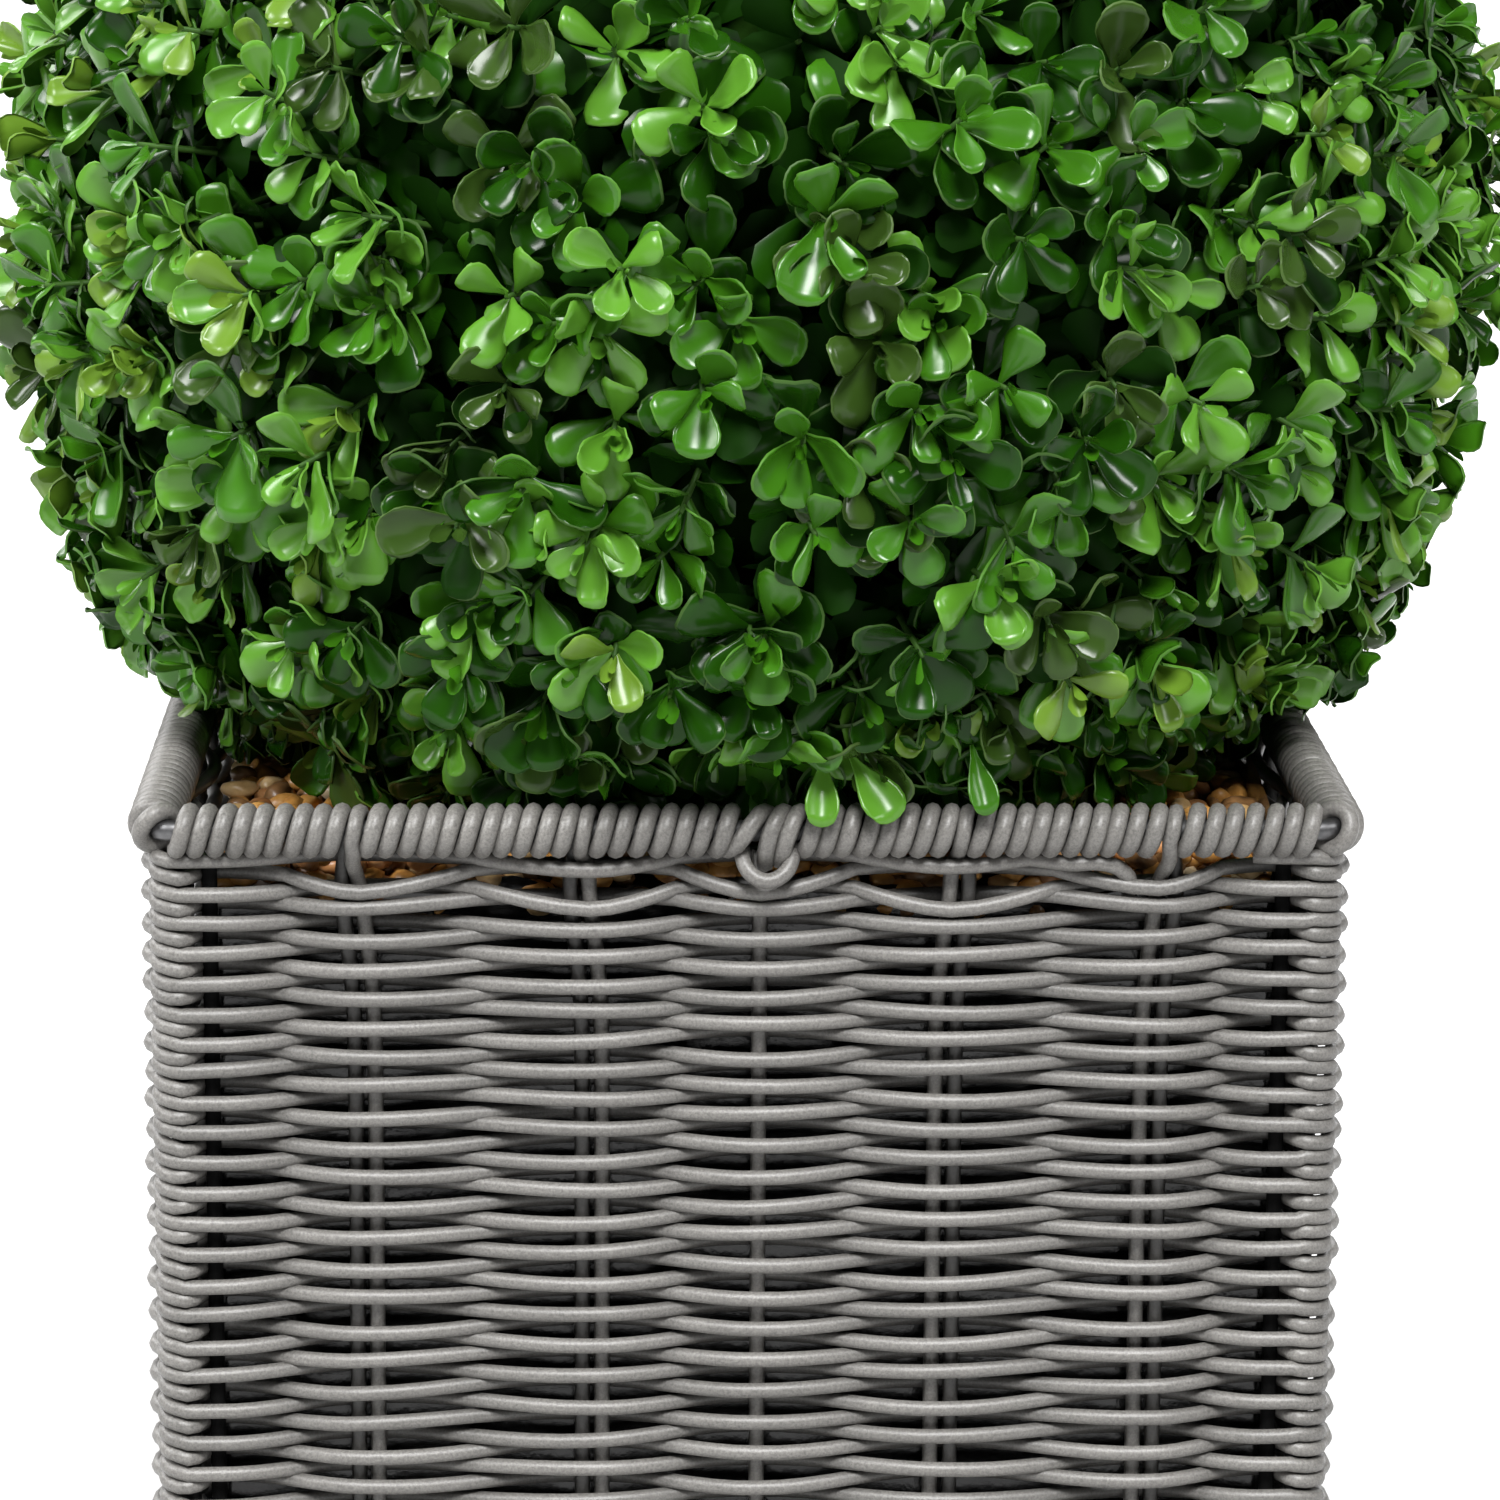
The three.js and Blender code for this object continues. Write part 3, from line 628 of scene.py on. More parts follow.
# Knot over the middle of each rim: the gap left for it, and the angles in degrees and places along the rim
# of its three strands, of which two come down behind the hanging loop
KNOT_FROM = -2.7
KNOT_TO = 10.9
KNOT_DEGREES = (-150, -90, -40, 0, 45, 90, 150)
STEEP_U = (-6.5, -4.5, -2.6, -0.8, 1.2, 3.1, 5.0)
FALL_DEGREES = (150, 90, 45, 0)
DROP_U = (8.3, 7.0, 5.6, 4.3)
DROP_END = ((3.7, 122.6, 241.6), (3.5, 121.6, 239.6), (3.5, 120.2, 238.2), (3.5, 118.6, 237.4))
CURL_U = (11.6, 10.4, 9.1, 7.9)
CURL_END = ((7.1, 122.4, 241.6), (6.7, 121.4, 239.6), (6.5, 119.8, 238.0))
LOOP = (
    *((-1.2, 118.4, 241.2), (-1.2, 121.2, 239.3), (-0.4, 123.0, 237.4)),
    *((1.4, 124.0, 235.8), (3.8, 124.3, 235.1), (6.2, 124.0, 235.8)),
    *((8.0, 123.0, 237.4), (8.8, 121.2, 239.3), (8.8, 118.4, 241.2)),
)


def leg_at(i):
    """Where along the rim the front leg of paired stake i passes over."""
    return STAKE_U[i] + LEG_SHIFTS[0 if i < CENTRE_STAKE else 1]


def strand_on_face(gathered, face, points, radius, slot, per, sides=ROW_SIDES, ref=None):
    """A strand through points of one face, given in u, n, z."""
    p = spline(points, per)
    path = face_points(face, p[:, 0], p[:, 1], p[:, 2])
    if ref is None:
        along = unit(np.gradient(path, axis=0))
        ref = np.cross(along, face_points(face, 1.0, 0.0, 0.0))
        flat = np.linalg.norm(ref, axis=1, keepdims=True) < END_ON
        ref = np.where(flat, face_out(face), ref)
    gathered.add(*tube(path, radius, sides, ref), slot)


def pair_foot(u, lean, side):
    """The lower points of one leg of a paired stake."""
    lower = [(u - LEAN_BACK * lean + side, STAKE_PLANE, z) for z in PAIR_HEIGHTS]
    return [(u + side, STAKE_PLANE, PAIR_STRAIGHT_Z), *lower]


def build_stakes():
    """Stakes of each face; a paired stake's front leg is a turn of the rim winding that runs on down."""
    nodes = []
    stakes = Gathered()
    for face in range(FACES):
        for i, u in enumerate(STAKE_U):
            kind = "hairpin" if i in PAIRED_STAKES else "single"
            nodes.append(f"{kind}_stake_{FACE_NAMES[face]}_{i}")
            if kind == "single":
                line = [(u, STAKE_PLANE, z) for z in SINGLE_HEIGHTS]
                # The single stakes beside the corners take the near-black of painted shade
                slot = LIT if i == CENTRE_STAKE else PAINTED_BLACK
                strand_on_face(stakes, face, line, STAKE_R, slot, per=3)
                continue
            inward = 1.0 if i < CENTRE_STAKE else -1.0
            lean = PAIR_LEAN * inward
            side = PAIR_HALF * inward
            over = leg_at(i)
            front = [rim_point(over + LEG_SLIDE * (a - LEG_LEVEL), math.radians(a)) for a in LEG_DEGREES]
            *way, (nearer, n, z) = LEG_WAYS[(face * len(STAKE_U) + i) % 2]
            front += [(over + from_leg, out, up) for from_leg, out, up in way]
            front += [(u + lean + nearer * inward, n, z), (u + lean + side, STAKE_PLANE, PAIR_BEND_Z)]
            front += pair_foot(u, lean, side)
            strand_on_face(stakes, face, front, STRAND_R, LIT, per=5)
            # The back leg takes the darker copy of the grey, painted shade
            back = [(u + lean - away * inward, n, z) for away, n, z in BACK_WAY]
            back += pair_foot(u, lean, -side)
            strand_on_face(stakes, face, back, STAKE_R, SHADED, per=4)
    make_piece("stake_strands", stakes, stake_mats, nodes)
    # The corner posts take the steel's dark copy, painted shade
    posts = Gathered()
    z = np.linspace(STAKE_FOOT, RIM_Z - ROD_R, num=9)
    for face in range(FACES):
        path = face_points(face, CORNER_AT, CORNER_AT, z)
        posts.add(*tube(path, POST_R, sides=10, ref=face_out(face)))
    make_piece("corner_posts", posts, [shaded_steel_mat], on_faces("corner_post"))


def axis_frame(s, limit):
    """Axis point (u, n) of the rim rod and its outward direction, bending at the corners past limit."""
    over = np.clip(np.abs(s) - limit, 0, None)
    angle = over / ROD_BEND * np.sign(s)
    flat = np.clip(s, -limit, limit)
    u = flat + ROD_BEND * np.sin(angle)
    n = RIM_AXIS - ROD_BEND + ROD_BEND * np.cos(angle)
    return u, n, np.sin(angle), np.cos(angle)


def wind(gathered, face, start, end, slot, limit):
    """Strand wound closely round the rod from start to end."""
    turns = max(int(round((end - start) / WRAP_PITCH)), 1)
    count = turns * WRAP_STEPS + 1
    turn = np.linspace(0, 1, count)
    angle = WRAP_START + turn * turns * FULL_TURN
    stray = STRAY * np.sin(turn * turns * STRAY_RATE + rng.uniform(0, STRAY_START))
    s = start + (end - start) * turn + stray + WRAP_LEAN * np.sin(angle)
    u, n, out_u, out_n = axis_frame(s, limit)
    radius = WRAP_R * (1 + SWELL * np.sin(turn * turns * SWELL_RATE))
    pu = u + radius * np.cos(angle) * out_u
    pn = n + radius * np.cos(angle) * out_n
    path = face_points(face, pu, pn, RIM_Z + radius * np.sin(angle))
    centre = face_points(face, u, n, RIM_Z)
    gathered.add(*tube(path, WRAP_STRAND_R, sides=10, ref=path - centre), slot)


def build_rim():
    limit = RIM_AXIS - ROD_BEND
    gaps = [(leg_at(i) - WRAP_PITCH / 2, leg_at(i) + WRAP_PITCH / 2) for i in PAIRED_STAKES]
    gaps = sorted([*gaps, (KNOT_FROM, KNOT_TO)])
    knot = [
        [rim_point(u, math.radians(a)) for u, a in zip(STEEP_U, KNOT_DEGREES)],
        [*(rim_point(u, math.radians(a)) for u, a in zip(DROP_U, FALL_DEGREES)), *DROP_END],
        [*(rim_point(u, math.radians(a)) for u, a in zip(CURL_U, FALL_DEGREES)), *CURL_END],
    ]
    coil = Gathered()
    loops = Gathered()
    for face in range(FACES):
        reach = SHORT_WRAP_END if face % 2 == 0 else limit + ROD_BEND * FAN_ANGLE
        cuts = [-reach, *(end for gap in gaps for end in gap), reach]
        for start, end in zip(cuts[::2], cuts[1::2]):
            wind(coil, face, start, end, int(rng.integers(len(strand_mats))), limit)
        for slot, strand in enumerate(knot):
            strand_on_face(coil, face, strand, WRAP_STRAND_R, slot, per=6)
        strand_on_face(loops, face, LOOP, STRAND_R, slot=0, per=8, sides=10, ref=face_out(face))
    make_piece("rim_winding", coil, strand_mats, on_faces("rim_wrap"))
    make_piece("rim_loops", loops, [strand_mats[0]], on_faces("rim_loop"))
    rod = Gathered()
    blocks = []
    straight = np.linspace(-limit, limit, num=12, endpoint=False)
    angle = np.arange(ROD_CORNER_STEPS) / ROD_CORNER_STEPS * math.pi / 2
    corner_u = limit + ROD_BEND * np.sin(angle)
    corner_n = limit + ROD_BEND * np.cos(angle)
    for face in range(FACES):
        blocks.append(face_points(face, straight, RIM_AXIS, RIM_Z))
        blocks.append(face_points(face, corner_u, corner_n, RIM_Z))
    path = np.concatenate(blocks)
    # The rod is painted dark as shade where the winding covers it, and has the lit steel where it is bare
    bare = (np.abs(path[:, :2]).min(1) > SHORT_WRAP_END - BARE_BEFORE).astype(int)
    rod.add(*tube(path, ROD_R, ROD_SIDES, (0, 0, 1), closed=True), np.repeat(bare, ROD_SIDES))
    make_piece("rim_rod_round", rod, [shaded_steel_mat, steel_mat], ["rim_rod"])


# Liner, fill and stem

LINER_COLUMNS = 60
LINER_ROWS = 26
LINER_FOOT = 8.0
LINER_INSET = 0.8
LINER_CORNER = 2.0
# Height of the film's upper edge on each face, and height and length of the two waves in it
LINER_EDGES = (229.0, 242.0, 231.0, 230.0)
EDGE_WAVES = ((2.2, 11.0), (1.3, 4.3))
# Depth of its creases, their lengths along the face and their turns up it
CREASE_DEPTH = 0.7
CREASE_LENGTHS = (5.1, 14.0)
CREASE_TURNS = (5.0, 9.0)
# The fill is dished under the ball, down to a flat round the stem
DISH_CLEAR = 3.0
PAD_R = 20.0
# Spans of a pebble's three half sizes, as shares of its size
STONE_SPANS = ((1.0, 1.35), (0.75, 1.0), (0.55, 0.8))
# Flats that cut it, the shares at which they cut, and limits to how far a flat and a corner stand out
STONE_FLATS = 7
FLAT_SHARES = (0.72, 0.95)
FLAT_FACING = 0.2
FLAT_MOST = 1.25
STONE_MOST = 1.08
STONE_ROUND = 0.12
STONE_TURN = 6.28
STONE_TILT = 0.5
# Nearer the stem than this the ball hides the loose pebbles
BARE_FROM = 94.0
FILL_INSET = 3.0
# Depth and spacing of the upper and the lower layer, and the strays from an even grid
LAYERS = ((2.8, 5.3), (6.5, 6.4))
GRID_SLACK = 0.1
LAYER_STRAY = 2.4
LAYER_LIFT = (-1.6, 1.8)
LAYER_SIZES = (2.4, 3.7)
# Pebbles along the walls, which show under the rim: heights, then start, end and pitch along a face
WALL_HEIGHTS = (226.0, 231.0)
WALL_SPAN = (-102.0, 103.0, 6.5)
WALL_STRAY = 3.0
WALL_IN = (-0.8, 1.5)
WALL_LIFT = 2.0
WALL_SIZES = (2.3, 3.4)
BED_CELLS = 56
BED_INSET = 1.5
BED_DEPTH = 9.0
BED_WAVE = 1.2
BED_LENGTHS = (3.1, 2.7)
BED_ROUGH = 0.5
STEM_FOOT_R = 13.0
STEM_TOP_R = 9.5
STEM_TOP_Z = 246.0
STEM_SUNK = 6.0
STEM_FLARE = -5.0
STEM_SIDES = 28
STEM_RINGS = 16
# Bark: height of two sets of ridges, their number, and how far they wander up the stem
RIDGES = (0.5, 7, 2.0, 6)
FINE_RIDGES = (0.35, 13, 9)


def fill_height(x, y):
    r = np.hypot(x - BALL[0], y)
    dish = CORE_R + DISH_CLEAR
    below = np.sqrt(np.maximum(dish**2 - np.maximum(r, PAD_R) ** 2, 0))
    return np.minimum(FILL_LEVEL, BALL[2] - below)


def build_liner():
    """Thin black film inside the weave, creased, with an uneven upper edge."""
    film = Gathered()
    (long_height, long_wave), (short_height, short_wave) = EDGE_WAVES
    columns = []
    u = np.linspace(-LINER_AT, LINER_AT, LINER_COLUMNS, endpoint=False)
    v = np.linspace(0, 1, LINER_ROWS)
    for face in range(FACES):
        edge = LINER_EDGES[face] + long_height * np.sin(u / long_wave + face)
        edge = edge + short_height * np.sin(u / short_wave + 2 * face)
        for at, top in zip(u, edge):
            crease = CREASE_DEPTH * np.sin(at / CREASE_LENGTHS[0] + CREASE_TURNS[0] * v + face)
            crease = crease * np.sin(v * CREASE_TURNS[1] + at / CREASE_LENGTHS[1])
            corner = abs(at) > LINER_AT - LINER_CORNER
            n = np.where(corner, LINER_AT, LINER_AT - LINER_INSET + crease)
            columns.append(face_points(face, at, n, LINER_FOOT + (top - LINER_FOOT) * v))
    film.add(np.concatenate(columns), [grid_faces(len(columns), LINER_ROWS, ring_rows=True, flip=True)])
    make_piece("liner_film", film, [liner_mat], ["liner"])


def stone_ball(splits):
    """Unit directions and faces of a round stone, from a split octahedron."""
    verts = [(1, 0, 0), (-1, 0, 0), (0, 1, 0), (0, -1, 0), (0, 0, 1), (0, 0, -1)]
    verts = [np.array(v, float) for v in verts]
    faces = [(0, 2, 4), (2, 1, 4), (1, 3, 4), (3, 0, 4)]
    faces += [(b, a, 5) for a, b, _ in faces]
    for _ in range(splits):
        middles = {}
        split = []
        for a, b, c in faces:
            mids = []
            for i, j in ((a, b), (b, c), (c, a)):
                key = (min(i, j), max(i, j))
                if key not in middles:
                    middles[key] = len(verts)
                    verts.append(unit(verts[i] + verts[j]))
                mids.append(middles[key])
            ab, bc, ca = mids
            split += [(a, ab, ca), (ab, b, bc), (ca, bc, c), (ab, bc, ca)]
        faces = split
    return np.array(verts), np.array(faces)


def add_pebble(stones, form, at, size):
    """A worn chip: a ball cut by a few rounded flats, stretched and turned."""
    shape, faces = form
    radii = size * np.array([rng.uniform(*span) for span in STONE_SPANS])
    flats = unit(rng.normal(0, 1, (STONE_FLATS, 3)))
    depth = rng.uniform(*FLAT_SHARES, STONE_FLATS)
    cut = np.minimum(depth / np.maximum(shape @ flats.T, FLAT_FACING), FLAT_MOST).min(1)
    reach = STONE_ROUND + (1 - STONE_ROUND) * np.minimum(cut, STONE_MOST)
    verts = shape * reach[:, None] * radii
    turn = Matrix.Rotation(rng.uniform(0, STONE_TURN), 3, "Z")
    turn = turn @ Matrix.Rotation(rng.normal(0, STONE_TILT), 3, "X")
    verts = verts @ np.array(turn).T + np.asarray(at)
    stones.add(verts, [faces], int(rng.choice(len(pebble_mats), p=pebble_shares)))


def build_fill():
    """Loose gravel, deeper beside the walls, where it shows under the rim, over a bed painted dark as the
    shadow between the stones.
    """
    fine = stone_ball(splits=2)
    coarse = stone_ball(splits=1)
    stones = Gathered()
    limit = LINER_AT - FILL_INSET
    for (depth, pitch), form in zip(LAYERS, (fine, coarse)):
        grid = np.arange(-limit, limit + GRID_SLACK, pitch)
        for x, y in ((x, y) for x in grid for y in grid):
            px = np.clip(x + rng.uniform(-LAYER_STRAY, LAYER_STRAY), -limit, limit)
            py = np.clip(y + rng.uniform(-LAYER_STRAY, LAYER_STRAY), -limit, limit)
            if math.hypot(px - BALL[0], py) < BARE_FROM:
                continue
            z = float(fill_height(px, py)) - depth + rng.uniform(*LAYER_LIFT)
            add_pebble(stones, form, (px, py, z), rng.uniform(*LAYER_SIZES))
    for face in range(FACES):
        for z in WALL_HEIGHTS:
            for u in np.arange(*WALL_SPAN):
                pu = u + rng.uniform(-WALL_STRAY, WALL_STRAY)
                pn = limit - rng.uniform(*WALL_IN)
                pz = z + rng.uniform(-WALL_LIFT, WALL_LIFT)
                add_pebble(stones, fine, face_points(face, pu, pn, pz), rng.uniform(*WALL_SIZES))
    make_piece("loose_pebbles", stones, pebble_mats, ["pebble_fill"])
    # Bed under the gravel, painted dark as the shadow between the stones
    bed = Gathered()
    grid = np.linspace(-LINER_AT + BED_INSET, LINER_AT - BED_INSET, BED_CELLS + 1)
    x, y = np.meshgrid(grid, grid, indexing="ij")
    wave = BED_WAVE * np.sin(x / BED_LENGTHS[0]) * np.cos(y / BED_LENGTHS[1])
    z = fill_height(x, y) - BED_DEPTH + wave + rng.normal(0, BED_ROUGH, x.shape)
    bed.add(np.stack([x, y, z], -1), [grid_faces(BED_CELLS + 1, BED_CELLS + 1, flip=True)])
    make_piece("fill_bed", bed, [bed_shadow_mat], ["pebble_fill"])


def build_stem():
    stem = Gathered()
    foot = float(fill_height(BALL[0], 0.0)) - STEM_SUNK
    z = np.linspace(foot, STEM_TOP_Z, STEM_RINGS)[:, None]
    t = np.linspace(0, 1, STEM_RINGS)[:, None]
    angle = np.arange(STEM_SIDES)[None] * FULL_TURN / STEM_SIDES
    high, number, wander, wander_rate = RIDGES
    ridge = high * np.sin(number * angle + wander * np.sin(t * wander_rate))
    high, number, wander = FINE_RIDGES
    ridge = ridge + high * np.sin(number * angle + wander * t)
    radius = STEM_TOP_R + (STEM_FOOT_R - STEM_TOP_R) * np.exp(STEM_FLARE * t) + ridge
    x = BALL[0] + radius * np.cos(angle)
    y = BALL[1] + radius * np.sin(angle)
    top = np.arange(STEM_SIDES)[None] + (STEM_RINGS - 1) * STEM_SIDES
    sides = grid_faces(STEM_RINGS, STEM_SIDES, ring_columns=True)
    stem.add(np.stack([x, y, np.broadcast_to(z, x.shape)], -1), [sides, top])
    make_piece("stem_with_bark", stem, [bark_mat], ["stem"])


# Foliage

# Outlines of the leaf, the small leaf at a tip and the plain leaf behind: places along in lengths, half
# width and bow at each, and places across in half widths
LEAF_OUTLINE = (
    (0.0, 0.17, 0.34, 0.5, 0.64, 0.77, 0.87),
    (0.12, 0.27, 0.55, 0.83, 0.98, 1.0, 0.84),
    (0.0, 0.0, 0.0, 0.01, 0.03, 0.07, 0.13),
    (-1.0, -0.985, -0.8, -0.42, 0.0, 0.42, 0.8, 0.985, 1.0),
)
SMALL_OUTLINE = (
    (0.0, 0.3, 0.6, 0.85),
    (0.1, 0.55, 1.0, 0.8),
    (0.0, 0.0, 0.03, 0.15),
    (-1.0, -0.5, 0.0, 0.5, 1.0),
)
PLAIN_OUTLINE = (
    (0.0, 0.35, 0.66, 0.86),
    (0.1, 0.66, 1.0, 0.76),
    (0.0, 0.0, 0.04, 0.14),
    (-1.0, -0.5, 0.5, 1.0),
)
# Cup, bend and twist of each form of leaf
LEAF_CURVES = (
    (0.12, 0.1, 0.0),
    (-0.1, -0.12, 0.03),
    (0.15, 0.16, -0.03),
    (-0.1, -0.2, 0.05),
    (-0.11, 0.02, -0.05),
    (0.09, -0.08, 0.02),
    (-0.12, -0.05, 0.0),
    (0.1, 0.04, 0.04),
)
SMALL_CURVE = (0.12, 0.12, 0.0)
PLAIN_CURVE = (-0.1, -0.05, 0.0)
LEAF_THICK = 0.038
EDGE_OUT = 0.01
RIPPLE = 0.012
# Unevenness of the outline: its height, and its rates along the leaf, by side and by bend
RAGGED = 0.012
RAGGED_RATES = (17.0, 3.0, 5.0)
CUP_POWER = 2.2
# Groove along the middle: depth, and how fast it fades to the sides
GROOVE = 0.014
GROOVE_FADE = 5


def leaf_form(outline, cup, bend, twist, thick=0.0):
    """A leaf in its own outline: x across in half widths, y along and z up in lengths.

    Where it has thickness, the outermost strips turn down as its edge, and they are marked.
    """
    t, wide, bow = (np.array(row)[:, None] for row in outline[:3])
    s = np.array(outline[3])[None]
    along, by_side, by_bend = RAGGED_RATES
    x = s * wide * (1 + RAGGED * np.sin(along * t + by_side * np.sign(s) + by_bend * bend))
    y = t + bow * np.sqrt(1 - s**2)
    z = cup * (np.abs(s) ** CUP_POWER) * wide + bend * (y**2)
    z = z - GROOVE * np.exp(-np.abs(s) * GROOVE_FADE) * wide + twist * s * t * wide
    if thick:
        z[1:-1, 2:-2] += rng.normal(0, RIPPLE, z[1:-1, 2:-2].shape)
        z[:, 0] = z[:, 1] - thick
        z[:, -1] = z[:, -2] - thick
        x, y, z = (np.concatenate([a, a[-1:]]) for a in (x, y, z))
        y[-1, 1:-1] += EDGE_OUT
        z[-1, 1:-1] -= thick
    rows, count = x.shape
    edge = np.zeros((rows - 1, count - 1), int)
    if thick:
        edge[:, [0, -1]] = 1
        edge[-1] = 1
    return np.stack([x, y, z], -1).reshape(-1, 3), grid_faces(rows, count), edge.ravel()


FORMS = [leaf_form(LEAF_OUTLINE, *curve, LEAF_THICK) for curve in LEAF_CURVES]
FORMS.append(leaf_form(SMALL_OUTLINE, *SMALL_CURVE))
FORMS.append(leaf_form(PLAIN_OUTLINE, *PLAIN_CURVE))
SMALL_FORM = len(LEAF_CURVES)
PLAIN_FORM = SMALL_FORM + 1
# Each tier of a sprig: distance below the tip, lean from the sprig's axis, leaf length, width share
TIERS = (
    (0.0, 0.35, 6.4, 0.52),
    (1.6, 0.74, 12.0, 0.6),
    (4.0, 1.0, 15.0, 0.62),
    (7.6, 1.14, 15.8, 0.62),
    (12.0, 1.26, 15.8, 0.62),
    (17.2, 1.36, 15.2, 0.62),
)
# From this tier down the leaves have the plain outline
PLAIN_FROM = 4
# Tiers of the short sprigs that fill in behind, painted dark as shade
FILL_TIERS = ((0.0, 0.7, 15.0, 0.62), (4.0, 1.05, 17.0, 0.62), (8.0, 1.25, 17.0, 0.62))
# Colour of each tier by the sprig's kind: the lower tiers are painted darker as shade
KINDS = {
    "bright": ("bright", "bright", "bright", "mid", "deep", "dusk"),
    "mid": ("mid", "mid", "mid", "deep", "deep", "dusk"),
    "yellow": ("yellow", "yellow", "bright", "mid", "deep", "dusk"),
    "deep": ("mid", "deep", "deep", "deep", "dusk", "dusk"),
    "olive": ("olive", "olive", "olive", "dusk", "dusk", "dusk"),
    "shade": ("dusk", "dusk", "dusk"),
}
KIND_SHARES = {"bright": 0.3, "mid": 0.34, "yellow": 0.03, "deep": 0.17, "olive": 0.16}
# Painted light towards the ball's two sides, more on the left: more sprigs are yellow and fewer deep;
# painted shade low down, where more are deep
SIDE_FROM = 0.4
SIDE_SPAN = 0.45
SIDE_LIT_SHARES = {"bright": 0.95, "mid": 1.0, "yellow": 1.0, "deep": 0.6, "olive": 0.8}
LEFT_LIT_YELLOW = 0.6
RIGHT_LIT_YELLOW = 0.2
LOW_FROM = -0.25
LOW_SHADE_DEEP = 2.9
RIM_CLEAR = 1.0
FILL_CLEAR = 1.0
# Over the corners of the planter the ball keeps to a smaller reach, so the pebbles show there
CORNER_ACROSS = 88.0
CORNER_ALONG = 50.0
CORNER_BELOW = 258.0
CORNER_REACH = 160.0
# Over the knot of each rim no leaf hangs below this height
KNOT_AT = 3.5
KNOT_HALF = 14.0
KNOT_BELOW = 258.0
# Leaves droop, more so low on the ball, and a leaf pointing straight up is spared a share of it
DROOP = 0.3
BUD_DROOP = DROOP / 3
LOW_DROOP = 1.0
UP_SPARED = 0.6
# A leaf below the bud that lies too close along its sprig leans out, and one raised too steep is left out
BUD_LEAN = 0.55
CLOSE_ALONG = 0.68
TOO_STEEP = 0.84
RAISES = 6
RAISE = 0.16
LEAF_ROLL = 0.28
WIDEST_AT = 0.75
# Keeps a leaf that lies along its sprig from having no side
AIM_OFFSET = 0.02
# Strays of a leaf from its tier's place round the sprig, lean, length and width
TURN_STRAY = 0.22
LEAN_STRAY = 0.14
LENGTHS = (0.86, 1.1)
WIDTHS = (0.88, 1.1)
SPRIG_SIZES = (0.88, 1.1)
SPRIG_SIDE = (0.3, 0.2, 1.0)
ROOT_OUT = 0.5
# A sprig is shortened in steps, not below the least, until there is room before its tip
LEAST_REACH = 6.0
REACH_STEP = 2.0
TIP_ROOM = 3.0
STEM_INSIDE = 8.0
# Sprigs all over the ball: number, reach, strays of foot and aim, and how far low ones turn up to level
SPRIGS = 1000
REACHES = (25.0, 35.5)
FOOT_STRAY = 0.025
AIM_STRAY = 0.2
LOW_LEVEL = 0.55
SPRIG_DROP = 0.05
FILL_SPRIGS = 800
FILL_REACHES = (10.0, 21.0)
FILL_FOOT_STRAY = 0.04
# More sprigs just above the rim, and the heights on the ball between which they stand
SKIRT_SPRIGS = 130
SKIRT_BAND = (-0.77, -0.6)
SKIRT_TIERS = 4
SKIRT_TURN_STRAY = 0.3
SKIRT_AIM_STRAY = 0.15
SKIRT_DROP = 0.1
# More sprigs low on the left and right, where the ball swells over the rim, and how far round they stand
FLANK_SPRIGS = 36
FLANK_BAND = (-0.66, -0.46)
FLANK_REACHES = (33.0, 39.0)
FLANK_TURN = 0.55
FLANK_LEVEL = 0.2
FLANK_AIM_STRAY = 0.1
# Leaves that hang over the front rim: place and height of the tip, slant, length, width share, colour
HANGING_LEAVES = (
    (14.4, 246.8, -0.03, 14.5, 0.48, "bright"),
    (28.6, 247.9, 0.62, 15.5, 0.58, "bright"),
    (47.4, 249.2, 0.2, 14.5, 0.42, "mid"),
)
HANGING_FORM = 0
HANGING_CLEAR = 1.6
HANGING_AIM = (-0.36, -0.94)
HANGING_FACE = (-1.0, 0.3)
HANGING_TURN = 0.5
# Most triangles in one piece of leaves
LEAF_PIECE_MOST = 170000
TWIG_RADII = np.array([1.1, 0.95, 0.8, 0.5])
TWIG_SIDE = (0.3, 0.5, 0.2)
# Core behind the leaves, painted dark as the shade deep in the ball, with small bumps
CORE_RINGS = 40
CORE_SECTORS = 80
CORE_POLE = 0.02
CORE_BUMP = 1.6
CORE_BUMP_RATES = (31, 29, 33)


def pick_kind(spot):
    """A kind of sprig, dealt out by where on the ball it stands, with painted light at the sides and
    painted shade low down.
    """
    side = min(max((abs(spot[0]) - SIDE_FROM) / SIDE_SPAN, 0.0), 1.0)
    shares = {k: share * (1 + side * (SIDE_LIT_SHARES[k] - 1)) for k, share in KIND_SHARES.items()}
    shares["yellow"] += side * (LEFT_LIT_YELLOW if spot[0] < 0 else RIGHT_LIT_YELLOW)
    shares["deep"] += LOW_SHADE_DEEP * max(LOW_FROM - spot[2], 0.0) * (1 - side)
    weights = np.array(list(shares.values()))
    return list(shares)[rng.choice(len(weights), p=weights / weights.sum())]


def is_free(points):
    """Whether each point lies inside the ball's reach and clear of rim, knots and pebbles."""
    x, y, z = points[..., 0], points[..., 1], points[..., 2]
    corner = (np.abs(x) > CORNER_ACROSS) & (np.abs(y) > CORNER_ALONG) & (z < CORNER_BELOW)
    reach = np.linalg.norm(points - BALL, axis=-1) <= np.where(corner, CORNER_REACH, BALL_REACH)
    across = np.maximum(np.abs(x), np.abs(y))
    along = np.where(np.abs(y) > np.abs(x), -np.sign(y) * x, np.sign(x) * y)
    knot = (np.abs(along - KNOT_AT) < KNOT_HALF) & (across > RIM_IN - RIM_CLEAR) & (z < KNOT_BELOW)
    inside = (across < RIM_IN - RIM_CLEAR) & (z > fill_height(x, y) + FILL_CLEAR)
    beside = (across > PLANTER_HALF + RIM_CLEAR) & (z > FILL_LEVEL)
    return reach & ~knot & ((z > PLANTER_HEIGHT + RIM_CLEAR) | inside | beside)


